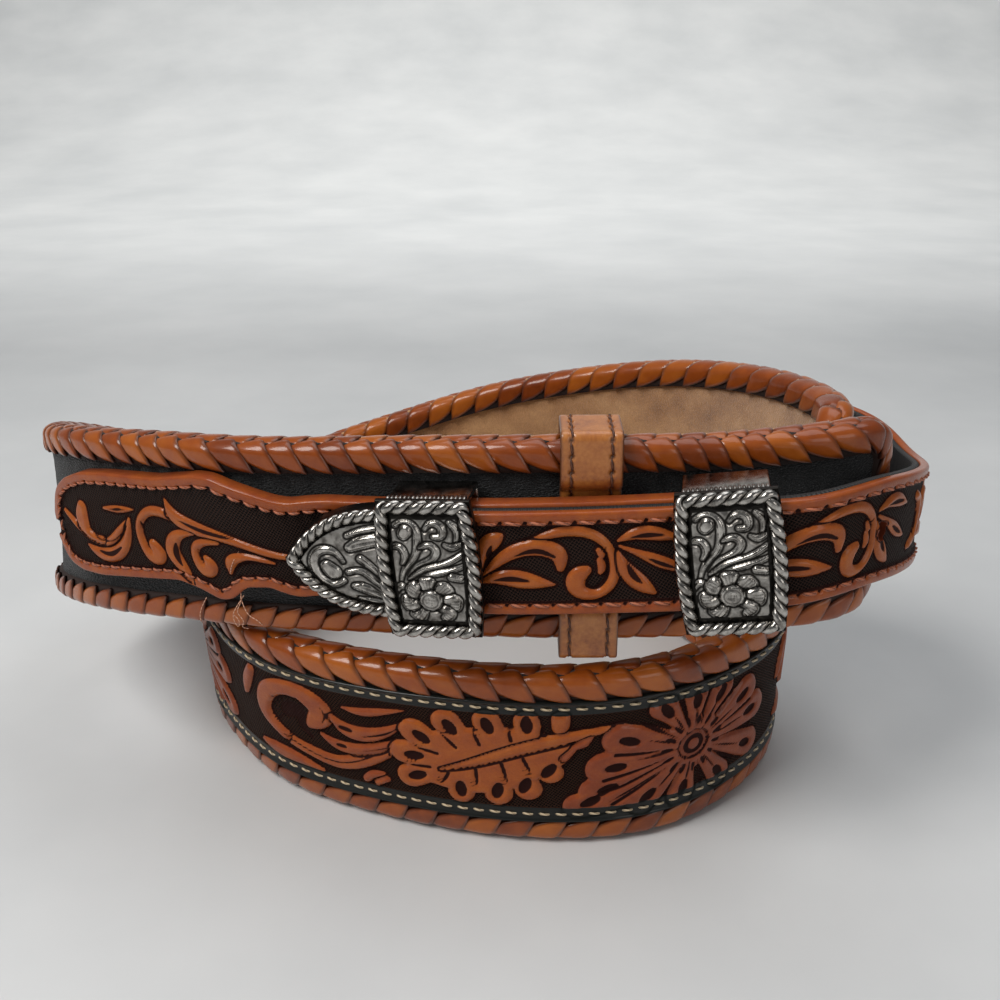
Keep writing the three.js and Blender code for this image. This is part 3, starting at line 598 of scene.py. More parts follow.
class CarvedLayer:
    """A leather strip between its low and high edges along a course, carved on its outer face."""

    def __init__(self, name, course, stations, low, high, inner, outer, face_rows, soft=0.5):
        corner = np.radians([30, 60, 90])
        share = np.linspace(0, 1, face_rows)
        self.course = course
        shares = np.concatenate([share, [1, 1, 1], [1, 1, 0.5, 0, 0], [0, 0, 0], [0]])
        sides = np.concatenate([soft - 2 * soft * share, soft * np.sin(corner) - soft, [0, -0.3, 0, 0.3, 0],
                                (soft - soft * np.sin(corner))[::-1], [soft]])
        turned = outer - soft + soft * np.cos(corner)
        depths = np.concatenate([0 * share + outer, turned, [inner + 0.3, inner, inner, inner, inner + 0.3],
                                 turned[::-1], [outer]])
        self.piece, column, row = new_grid(name, len(stations), len(shares))
        at = stations[::-1][column]
        self.x = -at
        low, high = low[::-1][column], high[::-1][column]
        self.y = low + (high - low) * shares[row] + sides[row]
        self.z = depths[row]
        self.face = (row < face_rows) | (row == len(shares) - 1)
        self.rim = np.minimum(self.y - low, high - self.y)
        self.relief = np.zeros(len(at))
        self.ink, self.ground, self.tone = np.zeros(len(at)), np.zeros(len(at)), np.full(len(at), 0.5)
        self.spot = (0, 0, 1)

    def inside(self, strokes, least):
        """The face's points near a group of strokes drawn from the spot, and how deep inside it they are."""
        x0, y0, way = self.spot
        points = np.array([row[:2] for rows in strokes for row in rows], float)
        near = np.flatnonzero(self.face & (np.abs(self.x - x0) < np.abs(points[:, 0]).max() + 5))
        deep = depth_in((self.x[near] - x0) * way, (self.y[near] - y0) * way, strokes)
        return near[deep > least], deep[deep > least]

    def field(self, low, high, from_x, to_x, depth):
        """Sinks the ground of the carving between two heights."""
        edge = np.minimum(np.minimum(self.y - low, high - self.y), np.minimum(self.x - from_x, to_x - self.x))
        amount = np.clip(0.5 + edge / 0.6, 0, 1) * self.face
        self.relief -= depth * amount
        self.ground = np.maximum(self.ground, amount)

    def swell(self, strokes, rise, tone=0.5, line=0.42, soft=0.9):
        """Raises a shape out of the ground, with a dark cut round it."""
        near, deep = self.inside(strokes, -line - 0.6)
        cut = np.clip(0.5 + (line / 2 - np.abs(deep + line / 2)) / 0.45, 0, 1)
        inside = deep > 0
        dome = rise * (1 - (1 - np.clip(deep / soft, 0, 1)) ** 2)
        self.relief[near] = np.where(inside, dome - rise, self.relief[near] - 0.18 * cut)
        self.ink[near] = np.where(inside, np.clip(0.5 - deep / 0.45, 0, 1), np.maximum(self.ink[near], cut))
        self.ground[near] = np.minimum(self.ground[near], np.clip(0.5 - deep / 0.5, 0, 1))
        self.tone[near] = np.where(inside, tone, self.tone[near])

    def cut(self, strokes, depth=0.22):
        """Cuts or dents the face and inks it."""
        near, deep = self.inside(strokes, -0.5)
        amount = np.clip(0.5 + deep / 0.45, 0, 1)
        self.relief[near] -= depth * amount
        self.ink[near] = np.maximum(self.ink[near], amount)

    def finish(self, slot, nodes, material):
        held = np.clip(self.rim / 1.2, 0, 1)
        flat = np.stack([self.x, self.y, self.z + self.relief * held * self.face], 1)
        mark(self.piece, "flat", flat)
        for name, values in (("ink", self.ink), ("ground", self.ground), ("tone", self.tone)):
            mark(self.piece, name, values)
        set_points(self.piece, laid(self.course, flat))
        close_up(self.piece)
        dress(self.piece, slot, nodes, material)


def carved_material(name, margin, ground):
    """Carved leather: dyed and antiqued tops, dark cuts, a matted ground and plain margins."""
    material, tree, shader = new_material(name, (0.4, 0.12, 0.04), 0.42, shine=0.06)
    where = node(tree, "Attribute", attribute_name="flat").outputs["Vector"]
    ink, matted, tone = (node(tree, "Attribute", attribute_name=key).outputs["Fac"] for key in ("ink", "ground",
                                                                                                "tone"))
    sharp_ink = ramp(tree, ink, (0.36, (0, 0, 0)), (0.6, (1, 1, 1)))
    sharp_ground = ramp(tree, matted, (0.4, (0, 0, 0)), (0.6, (1, 1, 1)))
    cloud = noise(tree, where, 0.35, 4)
    grain = noise(tree, where, 3.2, 4)
    mixed = math_node(tree, "ADD", math_node(tree, "MULTIPLY", tone, 0.55),
                      math_node(tree, "MULTIPLY", cloud, 0.45))
    dyed = ramp(tree, mixed, (0.2, (0.165, 0.034, 0.015)), (0.42, (0.28, 0.062, 0.020)),
                (0.62, (0.40, 0.100, 0.017)), (0.8, (0.50, 0.150, 0.023)))
    worn = blend(tree, math_node(tree, "MULTIPLY", grain, 0.5), dyed, (0.13, 0.022, 0.008, 1))
    weave = node(tree, "Mapping", {"Vector": where, "Rotation": (0, 0, 0.6), "Scale": (1, 1, 1)}).outputs[0]
    lines = [node(tree, "TexWave", {"Vector": weave, "Scale": 0.62, "Distortion": 0.5, "Detail": 1},
                  bands_direction=way).outputs["Fac"] for way in ("X", "Y")]
    lattice = math_node(tree, "MAXIMUM", *lines)
    pit = ramp(tree, lattice, (0.72, ground[0]), (0.93, ground[1]))
    body = blend(tree, sharp_ground, worn, pit)
    inked = blend(tree, sharp_ink, body, (0.022, 0.0065, 0.005, 1))
    if margin:
        sides = node(tree, "SeparateXYZ", {"Vector": where}).outputs["Y"]
        carved = node(tree, "Math", {0: sides, 1: margin[0], 2: margin[1]}, operation="COMPARE").outputs[0]
        inked = blend(tree, carved, margin[2], inked)
    tree.links.new(inked, shader.inputs["Base Color"])
    covered = math_node(tree, "MAXIMUM", ink, matted)
    tree.links.new(ramp(tree, covered, (0.3, (0.36, 0.36, 0.36)), (0.6, (0.62, 0.62, 0.62))),
                   shader.inputs["Roughness"])
    tree.links.new(ramp(tree, covered, (0.2, (0.42, 0.42, 0.42)), (0.55, (0, 0, 0))),
                   shader.inputs["Coat Weight"])
    tall = math_node(tree, "ADD", math_node(tree, "MULTIPLY", grain, 0.35),
                     math_node(tree, "MULTIPLY", math_node(tree, "MULTIPLY", lattice, sharp_ground), 1.6))
    bump(tree, shader, tall, 0.8, 0.2)
    return material


# THE TOOLED OVERLAY
# A strip of leather is carved with flowers, oak leaves and scrolls on a matted ground, between two smooth
# black margins. It is stitched along both margins to the lower turn of the strap.
OVERLAY_FROM, OVERLAY_SHORT, TONGUE_SEAT = 250, 28, 0.881
OVERLAY_TO = TONGUE_SEAT * coil.length - OVERLAY_SHORT
OVERLAY_LOW, OVERLAY_HIGH, OVERLAY_INNER, OVERLAY_OUTER = 5.9, 34.1, 2.15, 3.55
FIELD_LOW, FIELD_HIGH, FIELD_DEPTH, FIELD_END, MARGIN_SUNK = 9.3, 31.1, 0.75, 3, 0.55
FLOWER_AT, UNIT_LENGTH = 469, 118

LEAF_LOBES = [
    ((-30, 3.5, 1.2), (-27.4, -0.4, 2.0), (-26.5, -2.5, 2.4)),
    ((-34, 2, 1.2), (-31.5, -3.5, 2.2), (-30.5, -6.5, 2.6)),
    ((-38, 0.5, 1.2), (-36.5, -4.5, 2.4), (-36, -8.0, 2.7)),
    ((-42, -1, 1.4), (-42.7, -5.5, 2.3), (-43, -8.4, 2.6)),
    ((-46, -3, 1.6), (-50.5, -5.4, 2.6), (-52.6, -6.3, 2.9)),
    ((-46, -2, 1.6), (-51, -1, 2.7), (-53.6, -0.5, 2.9)),
    ((-44, 0, 1.6), (-49.5, 3.6, 2.7), (-51.4, 5, 2.9)), ((-40, 1, 1.6), (-44, 6.2, 2.6), (-45.3, 8.2, 2.8)),
    ((-35, 3, 1.4), (-37.2, 7, 2.6), (-38, 9.2, 2.6)), ((-30, 4.5, 1.2), (-30.7, 8, 2.4), (-31, 9.6, 2.3)),
    ((-25, 6, 0.8), (-25, 9.5, 1.7), (-25, 10.2, 1.7)),
    ((-26, 2.6, 3.4), (-33, 1.2, 6.6), (-41, -0.6, 7.8), (-47.5, -1.0, 6.4)),
]
LEAF_OVALS = [(-26.9, -1.6, 55), (-31.1, -5.3, 70), (-36.1, -6.9, 80), (-42.9, -7.4, 95), (-51.2, -5.6, 25),
              (-51.6, -0.7, 5), (-49.9, 4.1, -38), (-44.5, 7.3, -58), (-37.8, 8.4, -70), (-30.9, 9.0, -85)]
LEAF_NOTCHES = [((-28.8, -5.2), (-31.5, 1.2)), ((-33.4, -8.0), (-35.3, -0.4)), ((-39.6, -9.2), (-40.0, -2.2)),
                ((-47.3, -8.4), (-45.2, -4.0)), ((-56, -3.3), (-48.6, -3.0)), ((-54.9, 2.3), (-47, 0.6)),
                ((-48.6, 8.4), (-43.5, 2.6)), ((-41.5, 9.8), (-39.2, 3.8)), ((-34.6, 10.2), (-33.6, 5.2)),
                ((-27.8, 10.6), (-28.3, 6.6))]
MIDRIB = [(-14, 8.2, 0.3), (-19, 6.9, 0.9), (-25, 5.6, 1.25), (-35, 2, 1.25), (-42, -1.3, 0.8),
          (-46.5, -3.1, 0.3)]
PETALS = [
    ((-1.2, -2, 1), (-6, -7, 2.2), (-9.6, -10.6, 2.8)), ((-3, -2, 1), (-14, -8.4, 2.8), (-21.4, -10.4, 2.6)),
    ((-2, -1, 1), (-11, -4.6, 3.2), (-18, -7.2, 3.2)), ((-2.2, 0, 1), (-10, -0.2, 2.8), (-16.6, -1.8, 3.5)),
    ((-2, 1, 1), (-8, 3.2, 2.4), (-14.2, 4.6, 3.2)),
    ((0, -2.3, 1), (-1, -8, 2.0), (-1.5, -11.2, 2.8)), ((1.2, -2, 1), (5.5, -7.5, 1.9), (8, -10.8, 2.6)),
    ((2, -1, 1), (11, -5, 2.3), (16.8, -7.6, 2.9)), ((2.2, 0, 1), (11, 0.8, 2.4), (17, 1.2, 3.1)),
    ((2, 1, 1), (8.5, 3.9, 2.0), (13.6, 6.6, 2.9)), ((1.2, 2, 1), (4.5, 7.6, 1.7), (6.4, 10.4, 2.5)),
    ((0, 2.3, 1), (0, 8, 1.6), (0, 11, 2.4)), ((-1.2, 2, 1), (-4.6, 7.6, 1.7), (-6.8, 10.4, 2.5)),
]
VINE = [(-57, -1, 1.7), (-62, -4.6, 1.9), (-68, -7, 1.7), (-74, -6.2, 1.5), (-80, -4.2, 1.4), (-84.2, 0, 1.7),
        (-83.3, 4.8, 2.0), (-78, 8.5, 1.9), (-72.5, 7.6, 2.3), (-70.4, 4.6, 2.6), (-71.5, 2.6, 2.2),
        (-73, 1.2, 1.2)]
SCROLL_LEAVES = [
    [(-68.2, 5, 0.4), (-66, 2.6, 1.5), (-61, 1.9, 1.8), (-56, 4.2, 1.0), (-52, 7.3, 0.2)],
    [(-71, -0.6, 0.4), (-67.5, -2.4, 1.3), (-62, -2.0, 1.3), (-57, 0.2, 0.9), (-54, 2.5, 0.2)],
    [(-65.5, 7.6, 0.3), (-61.5, 7.4, 1.0), (-57, 8.4, 0.8), (-53, 9.4, 0.2)],
    [(-62.2, -9.6, 0.9), (-60.4, -8.0, 1.0), (-58.4, -7.4, 0.6)], [(-59.8, -9.9, 0.8), (-57.8, -8.6, 0.8)],
    [(-87.4, -9.0, 0.4), (-83, -9.4, 1.6), (-77.6, -9.6, 1.4), (-72, -10.6, 0.4)],
    [(-89.8, 1.8, 0.5), (-88.4, 5.6, 1.3), (-86.2, 9.6, 1.0)],
]


def oval(x, y, angle, half, long):
    step = np.array([math.cos(math.radians(angle)), math.sin(math.radians(angle))]) * (long / 2 - half)
    return [(x - step[0], y - step[1], half * 0.7), (x, y, half), (x + step[0], y + step[1], half * 0.7)]


def fanned(ring, angles, half, long, turn=0):
    """Ovals that point out from a middle."""
    return [oval(ring * math.cos(math.radians(a)), ring * math.sin(math.radians(a)), a + turn, half,
                 long) for a in angles]


def carve_unit(layer):
    """One run of the pattern: a flower, the oak leaf that grows from it and the scroll beyond the leaf."""
    layer.swell([VINE[:6]], 0.7, 0.55)
    layer.swell([VINE[4:]], 0.72, 0.5)
    layer.cut([[(x, y + 0.35, 0.2) for x, y, _ in VINE[:5]]])
    layer.cut([[(-70.2, 6.9, 0.1), (-69.3, 4.6, 0.26), (-70.2, 2.6, 0.1)]])
    layer.cut([[(-79, 1.2, 0.4), (-77.9, 2.8, 1.9), (-75.6, 3.2, 1.5), (-75.3, 0.2, 0.9), (-73.6, -2.4, 0.5)]],
              0.4)
    layer.cut([[(-78.6 + 3.9 * math.cos(a), 2.4 + 4.2 * math.sin(a), 0.14),
                (-78.6 + 2.2 * math.cos(a), 2.4 + 2.5 * math.sin(a), 0.3)]
               for a in np.radians([70, 102, 134, 166, 198, 230])], 0.3)
    layer.cut([[(-75.2, 7.0, 0.3), (-74.6, 5.4, 0.5), (-74.9, 3.6, 0.2)]])
    for leaflet in SCROLL_LEAVES:
        layer.swell([leaflet], 0.66, 0.45)
    layer.cut([oval(-65.2, 2.6, -10, 0.55, 3.4), oval(-66.6, -2.1, -4, 0.4, 2.6)], 0.4)
    layer.cut([[(-61.5, 1.6, 0.14), (-56.5, 3.6, 0.24), (-54, 5.4, 0.1)],
               [(-62, -2.2, 0.12), (-57.4, -0.4, 0.2)]])
    layer.swell(LEAF_LOBES + [MIDRIB], 0.75, 0.66)
    layer.cut([[(*root, 0.34), (root[0] + 0.25 * (tip[0] - root[0]), root[1] + 0.25 * (tip[1] - root[1]), 0.36),
                (root[0] + 0.55 * (tip[0] - root[0]), root[1] + 0.55 * (tip[1] - root[1]), 0.1)]
               for tip, root in LEAF_NOTCHES], 0.35)
    for tip, root in LEAF_NOTCHES:
        way = np.array(root) - tip
        side = np.array([-way[1], way[0]]) / np.hypot(*way)
        layer.cut([[(*(tip + way * f + side * 0.25), 0.12), (*(tip + way * (f + 0.08) + side * 1.15), 0.12)]
                   for f in (0.36, 0.46, 0.56)], 0.12)
    layer.cut([oval(x, y, angle, 1.1, 4.6) for x, y, angle in LEAF_OVALS], 0.5)
    layer.swell([MIDRIB], 0.85, 0.72, 0.5, 0.6)
    layer.swell([[(-22.6, 3.6, 0.5), (-21, 4.4, 1.0), (-19.6, 5.8, 0.5)], [(-24, 1.4, 0.9), (-22.6, 3.2, 0.7)]],
                0.6, 0.4)
    layer.swell([((x0, y0, a), (x1, y1, b * 1.12), (x2, y2, c * 1.1)) for (x0, y0, a), (x1, y1, b),
                 (x2, y2, c) in PETALS]
                + [[(-1, 0, 6.2), (1, 0, 6.2)]], 0.72, 0.30)
    bearings = [math.atan2(y, x) for _, _, (x, y, _) in PETALS]
    order = sorted(range(len(PETALS)), key=lambda k: bearings[k])
    for one, two in zip(order, order[1:] + order[:1]):
        (ax, ay, _), (bx, by, _) = PETALS[one][2], PETALS[two][2]
        x, y = (ax + bx) / 2, (ay + by) / 2
        layer.cut([[(x * 0.36, y * 0.36, 0.1), (x * 0.66, y * 0.66, 0.3), (x * 0.98, y * 0.98, 0.42)]], 0.4)
    layer.cut([[(petal[1][0] * 0.42, petal[1][1] * 0.42, 0.1), (petal[1][0] * 0.8, petal[1][1] * 0.8, 0.26),
                (petal[1][0] * 1.15, petal[1][1] * 1.15, 0.1)] for petal in PETALS], 0.2)
    layer.cut([oval(x * 0.90, y * 0.90, math.degrees(math.atan2(y, x)), 1.02, 4.6)
               for _, _, (x, y, _) in PETALS], 0.55)
    layer.cut(fanned(5.6, range(10, 370, 24), 0.42, 2.6), 0.3)
    layer.swell([[(-0.2, 0, 2.9), (0.2, 0, 2.9)]], 0.62, 0.2, 0.4)
    layer.cut([[(1.75 * math.cos(a), 1.75 * math.sin(a), 0.52) for a in np.radians(range(0, 361, 30))]], 0.4)
    layer.cut(fanned(3.3, range(0, 360, 30), 0.2, 1.2), 0.2)


overlay_leather = carved_material("carved_overlay_leather", (20.2, 10.9, (0.009, 0.010, 0.009, 1)),
                                  ((0.0025, 0.002, 0.002), (0.040, 0.017, 0.010)))
overlay_at = np.linspace(OVERLAY_FROM, OVERLAY_TO, 1080)
overlay = CarvedLayer("carved_overlay", coil, overlay_at, 0 * overlay_at + OVERLAY_LOW,
                      0 * overlay_at + OVERLAY_HIGH, OVERLAY_INNER, OVERLAY_OUTER, 70)
overlay.field(FIELD_LOW, FIELD_HIGH, FIELD_END - OVERLAY_TO, -FIELD_END - OVERLAY_FROM, FIELD_DEPTH)
for unit in range(-2, 3):
    overlay.spot = (-FLOWER_AT - unit * UNIT_LENGTH, 20.15, 1)
    carve_unit(overlay)
margin = (overlay.y < FIELD_LOW) | (overlay.y > FIELD_HIGH)
overlay.relief = np.where(margin & overlay.face, -MARGIN_SUNK, np.maximum(overlay.relief, -1.0))
ends = (overlay.x < FIELD_END - OVERLAY_TO) | (overlay.x > -FIELD_END - OVERLAY_FROM)
overlay.ground[ends], overlay.ink[ends] = 1, 1
overlay.finish("tooled_leather", ["tooled_overlay"], overlay_leather)


# THE STITCHES
# Each stitch is a short piece of twisted thread that dips into the leather at both of its ends. Cream
# thread runs along the overlay's margins, and thicker orange thread along both edges of the billets.
STITCH_RINGS, STITCH_SIDES = 9, 7


def sewn(name, course, spots, ahead, length, half, slant, out, material, slot):
    """Twisted stitches at (along, up) spots, each running its own way ahead, at a depth of the face."""
    t = np.linspace(0, 1, STITCH_RINGS)[None, :, None]
    ring = np.linspace(0, 2 * np.pi, STITCH_SIDES, endpoint=False)
    turn = ring + t * 5
    fat = half * np.sqrt(np.clip(1 - (2 * t - 1) ** 4, 0.05, 1)) * (1 + 0.16 * np.cos(2 * turn))
    hump = half * (1.5 * np.sqrt(np.clip(1 - (2 * t - 1) ** 2, 0, 1)) - 0.9)
    shift = length * (t - 0.5)
    side = fat * np.cos(ring) + slant * (t - 0.5)
    along = spots[:, None, None, 0] + ahead[:, None, None, 0] * shift - ahead[:, None, None, 1] * side
    up = spots[:, None, None, 1] + ahead[:, None, None, 1] * shift + ahead[:, None, None, 0] * side
    depth = out(along) + hump + fat * np.sin(ring)
    along, up, depth = np.broadcast_arrays(along, up, depth)
    points = (course.place(along, depth, up) + ORIGIN) / 1000
    faces = np.array([[i * STITCH_SIDES + j, i * STITCH_SIDES + (j + 1) % STITCH_SIDES,
                       (i + 1) * STITCH_SIDES + (j + 1) % STITCH_SIDES, (i + 1) * STITCH_SIDES + j]
                      for i in range(STITCH_RINGS - 1) for j in range(STITCH_SIDES)])
    twist = np.broadcast_to(0.5 + 0.5 * np.sin(2 * turn), along.shape)
    piece = joined_copies(name, points.reshape(len(spots), -1, 3), faces, {"twist": twist})
    dress(piece, slot, [], material)


def thread_material(name, pale, dark):
    material, tree, shader = new_material(name, pale, 0.55)
    twist = node(tree, "Attribute", attribute_name="twist").outputs["Fac"]
    tree.links.new(ramp(tree, twist, (0.15, dark), (0.6, pale)), shader.inputs["Base Color"])
    return material


cream_thread = thread_material("cream_thread", (0.62, 0.50, 0.33), (0.22, 0.15, 0.085))
overlay_starts = np.arange(OVERLAY_FROM + 4, OVERLAY_TO - 3, 3.07)
for label, height in (("upper", 32.55), ("lower", 7.75)):
    sewn("overlay_stitches_" + label, coil, np.stack([overlay_starts, 0 * overlay_starts + height], 1),
         np.tile([1.0, 0.0], (len(overlay_starts), 1)), 2.3, 0.235, 0.22,
         lambda along: OVERLAY_OUTER - MARGIN_SUNK + 0 * along, cream_thread, "tooled_leather")


# THE BUCKLE BILLET
# The narrow tongue at the buckle end is cut from thick leather with a keyhole-shaped head. Its rim is
# smooth and stitched down, and inside the rim scrolls and leaves stand on a matted black-brown ground.
BILLET_HALF, BILLET_THICK, BILLET_END, HEAD_END, HEAD_LENGTH, HEAD_WIDTH = 9.525, 3.2, 31, 165.5, 58, 21.5
HEAD_ROWS = [
    (0, 0.093, 0.14), (0.021, 0.256, 0.302), (0.06, 0.372, 0.395), (0.121, 0.465, 0.447), (0.224, 0.549, 0.46),
    (0.345, 0.572, 0.437), (0.569, 0.572, 0.409), (0.655, 0.605, 0.465), (0.724, 0.646, 0.544),
    (0.767, 0.646, 0.512), (0.819, 0.586, 0.372), (0.897, 0.521, 0.344), (1, 0.443, 0.443),
]
FRONT_ROWS = [
    (0.131, 0.166, 0.11), (0.189, 0.121, 0.09), (0.246, 0.071, 0.06), (0.309, 0.027, 0.03),
    (0.377, 0.022, 0.02),
    (0.457, 0.005, 0.012), (0.543, 0, 0.02), (0.59, 0, 0.033), (0.615, 0, 0.041),
]
SEWN_OUT = STACK_HALF + SEAT + BILLET_THICK / 2
KEEPER_LIFT, BILLET_PITCH, TIP_LENGTH, TIP_SHOWN = 2.0, 4.0, 24, 18.4
RIM, STITCH_INSET = 2.35, 1.8

front_knots = np.array(FRONT_ROWS)[:, 0] * COIL_WIDTH
spring_at = smooth_curve(front_knots, np.array(FRONT_ROWS)[:, 1] * BELT_WIDTH)
rise_at = smooth_curve(front_knots, np.array(FRONT_ROWS)[:, 2] * BELT_WIDTH)


def in_front(curve, at):
    return curve(np.clip(at, front_knots[0], front_knots[-1]))


def head_edges(at):
    """The billet's low and high edges on the strap, by length from the buckle end."""
    at = np.asarray(at, float)[..., None] + np.linspace(-0.9, 0.9, 7)
    share = (HEAD_END - at) / HEAD_LENGTH
    rows = np.array(HEAD_ROWS).T
    straight = BELT_WIDTH / 2 + in_front(rise_at, at)
    join = np.clip((share - 0.9) / 0.25, 0, 1)
    join = join * join * (3 - 2 * join)
    above = np.interp(share, rows[0], rows[1]) * HEAD_WIDTH
    below = np.interp(share, rows[0], rows[2]) * HEAD_WIDTH
    high = (BELT_WIDTH / 2 + above) * (1 - join) + (straight + BILLET_HALF) * join
    low = (BELT_WIDTH / 2 - below) * (1 - join) + (straight - BILLET_HALF) * join
    return low.mean(-1), high.mean(-1)


def billet_out(at):
    settled = np.clip((np.asarray(at) - (HEAD_END - HEAD_LENGTH)) / TIP_LENGTH, 0, 1)
    settled = settled * settled * (3 - 2 * settled)
    spring = np.where(at < front_knots[-1], in_front(spring_at, at), 0)
    return SEWN_OUT + spring + KEEPER_LIFT * (1 - settled)


def outline_of(at, low, high):
    """The outline of a strip from its low edge round its far end to its high edge."""
    return np.concatenate([np.stack([at, low], 1), np.stack([at, high], 1)[::-1]])


def drawn_in(line, inset):
    """A line moved to its left, and spaced evenly again."""
    way = np.gradient(line, axis=0)
    way /= np.linalg.norm(way, axis=1, keepdims=True)
    moved = line + inset * np.stack([-way[:, 1], way[:, 0]], 1)
    near = np.linalg.norm(moved[:, None] - line[None, ::2], axis=2).min(1)
    moved = moved[near > inset * 0.93]
    lengths = np.concatenate([[0], np.cumsum(np.linalg.norm(np.diff(moved, axis=0), axis=1))])
    at = np.linspace(0, lengths[-1], int(lengths[-1] / 0.2))
    return np.stack([np.interp(at, lengths, moved[:, k]) for k in (0, 1)], 1)


def rim_of(layer, line):
    """Sets how far each point of a layer lies from its outline."""
    line = np.stack([-line[:, 0], line[:, 1]], 1)
    for part in np.array_split(np.arange(len(layer.x)), 40):
        gap = np.hypot(layer.x[part, None] - line[:, 0], layer.y[part, None] - line[:, 1])
        layer.rim[part] = gap.min(1)


def sunk_field(layer, rim, depth):
    """Sinks the ground inside a rim that follows the outline."""
    amount = np.clip(0.5 + (layer.rim - rim) / 0.5, 0, 1) * layer.face
    layer.relief -= depth * amount
    layer.ground = np.maximum(layer.ground, amount)
    layer.ink = np.maximum(layer.ink, np.clip(1.1 - np.abs(layer.rim - rim) / 0.35, 0, 1) * layer.face)


def stitch_path(name, layer, course, line, pitch, length, half, out, material, slot):
    """Stitches along a line on a layer, with a dented hole at each stitch's end and painted shade in it."""
    steps = np.concatenate([[0], np.cumsum(np.linalg.norm(np.diff(line, axis=0), axis=1))])
    marks = np.arange(pitch / 2, steps[-1] - pitch / 2, pitch)
    spots = np.stack([np.interp(marks, steps, line[:, k]) for k in (0, 1)], 1)
    ahead = np.stack([np.interp(marks + 0.3, steps, line[:, k]) for k in (0, 1)], 1) - spots
    ahead /= np.linalg.norm(ahead, axis=1, keepdims=True)
    if layer is not None:
        layer.spot = (0, 0, 1)
        for spot, way in zip(spots, ahead):
            # Each hole is dented a little and painted dark: painted shade inside the hole.
            hole = spot + way * pitch / 2
            near = np.flatnonzero(layer.face & (np.abs(layer.x + hole[0]) < 1) & (np.abs(layer.y - hole[1]) < 1))
            deep = 0.36 - np.hypot(layer.x[near] + hole[0], layer.y[near] - hole[1])
            amount = np.clip(0.5 + deep / 0.4, 0, 1)
            layer.relief[near] -= 0.5 * amount
            layer.ink[near] = np.maximum(layer.ink[near], amount)
            trench = np.flatnonzero(layer.face & (np.abs(layer.x + spot[0]) < pitch) & (np.abs(layer.y - spot[1]) < pitch))
            offset = np.stack([-layer.x[trench] - spot[0], layer.y[trench] - spot[1]], 1)
            aside = np.abs(offset @ np.array([-way[1], way[0]]))
            along = np.abs(offset @ way)
            layer.relief[trench] -= 0.14 * np.clip(1 - aside / 0.6, 0, 1) * (along < pitch / 2)
    sewn(name, course, spots, ahead, length, half, 0.12 * length, out, material, slot)


def at_head(rows):
    """Strokes of the head, noted as along from its end and up from its middle, as layer strokes."""
    return [[(-(HEAD_END - 2.5) + x, 20 + y, half) for x, y, half in rows]]


billet_leather = carved_material("carved_billet_leather", None, ((0.005, 0.004, 0.004), (0.036, 0.019, 0.014)))
rust_thread = thread_material("rust_thread", (0.42, 0.13, 0.06), (0.10, 0.025, 0.012))

billet_at = np.concatenate([np.linspace(BILLET_END, 92, 40), np.linspace(92.3, HEAD_END, 260)])
billet_low, billet_high = head_edges(billet_at)
billet_low[-1], billet_high[-1] = billet_low[-2] + 0.6, billet_high[-2] - 0.6


class Lifted:
    """The coil with the buckle billet's own distance from it."""

    def place(self, at, outward, height):
        return coil.place(at, outward + billet_out(at), height)


lifted = Lifted()
billet = CarvedLayer("carved_buckle_billet", lifted, billet_at, billet_low, billet_high, -1.6, 1.6, 74)
rim_of(billet, outline_of(billet_at, billet_low, billet_high)[::3])
sunk_field(billet, RIM, 0.6)
HEAD_SHAPES = [
    [(1.9, 2.9, 0.5), (4.6, 1.0, 0.8), (8.6, -2.0, 0.7), (13.5, -2.6, 0.9), (17.6, 0.2, 0.9), (20.6, 3.0, 0.3)],
    [(8.4, 4.4, 1.3), (7.7, 1.6, 1.8), (8.6, -0.8, 1.1), (12.4, -2.2, 0.9)],
    [(7.8, -3.7, 0.3), (11.0, -5.2, 1.3), (15.5, -4.6, 1.5), (19.4, -0.6, 0.9), (20.8, 3.2, 0.3)],
    [(14.8, 4.8, 0.3), (18.3, 4.9, 0.8), (22.5, 5.2, 0.2)],
    [(36.4, 2.5, 0.5), (31.0, 5.0, 1.1), (26.3, 5.0, 1.0), (23.2, 2.2, 0.9), (23.0, -1.6, 1.0),
     (25.4, -4.6, 1.5),
     (26.6, -4.0, 1.7), (25.7, -1.8, 1.2)],
    [(31.9, 8.2, 0.2), (33.2, 5.0, 1.4), (37.0, 3.0, 1.6), (43.0, 1.6, 1.0), (50.0, -0.4, 0.8),
     (58, -1.2, 0.4)],
    [(36.6, 1.5, 0.3), (32.6, 0.6, 1.2), (30.6, -2.4, 1.8), (32.2, -6.0, 1.3), (34.0, -9.0, 0.2)],
    [(41.0, 0.4, 0.4), (37.0, -0.6, 0.9), (36.0, -3.2, 1.0), (38.0, -5.8, 1.5), (38.8, -4.6, 1.3),
     (38.2, -3.2, 0.7)],
    [(42.4, -5.6, 0.3), (43.0, -3.0, 1.1), (46.0, -1.8, 0.9), (51.0, -2.4, 0.3)],
]
for shape in HEAD_SHAPES:
    billet.swell(at_head(shape), 0.62, 0.72)
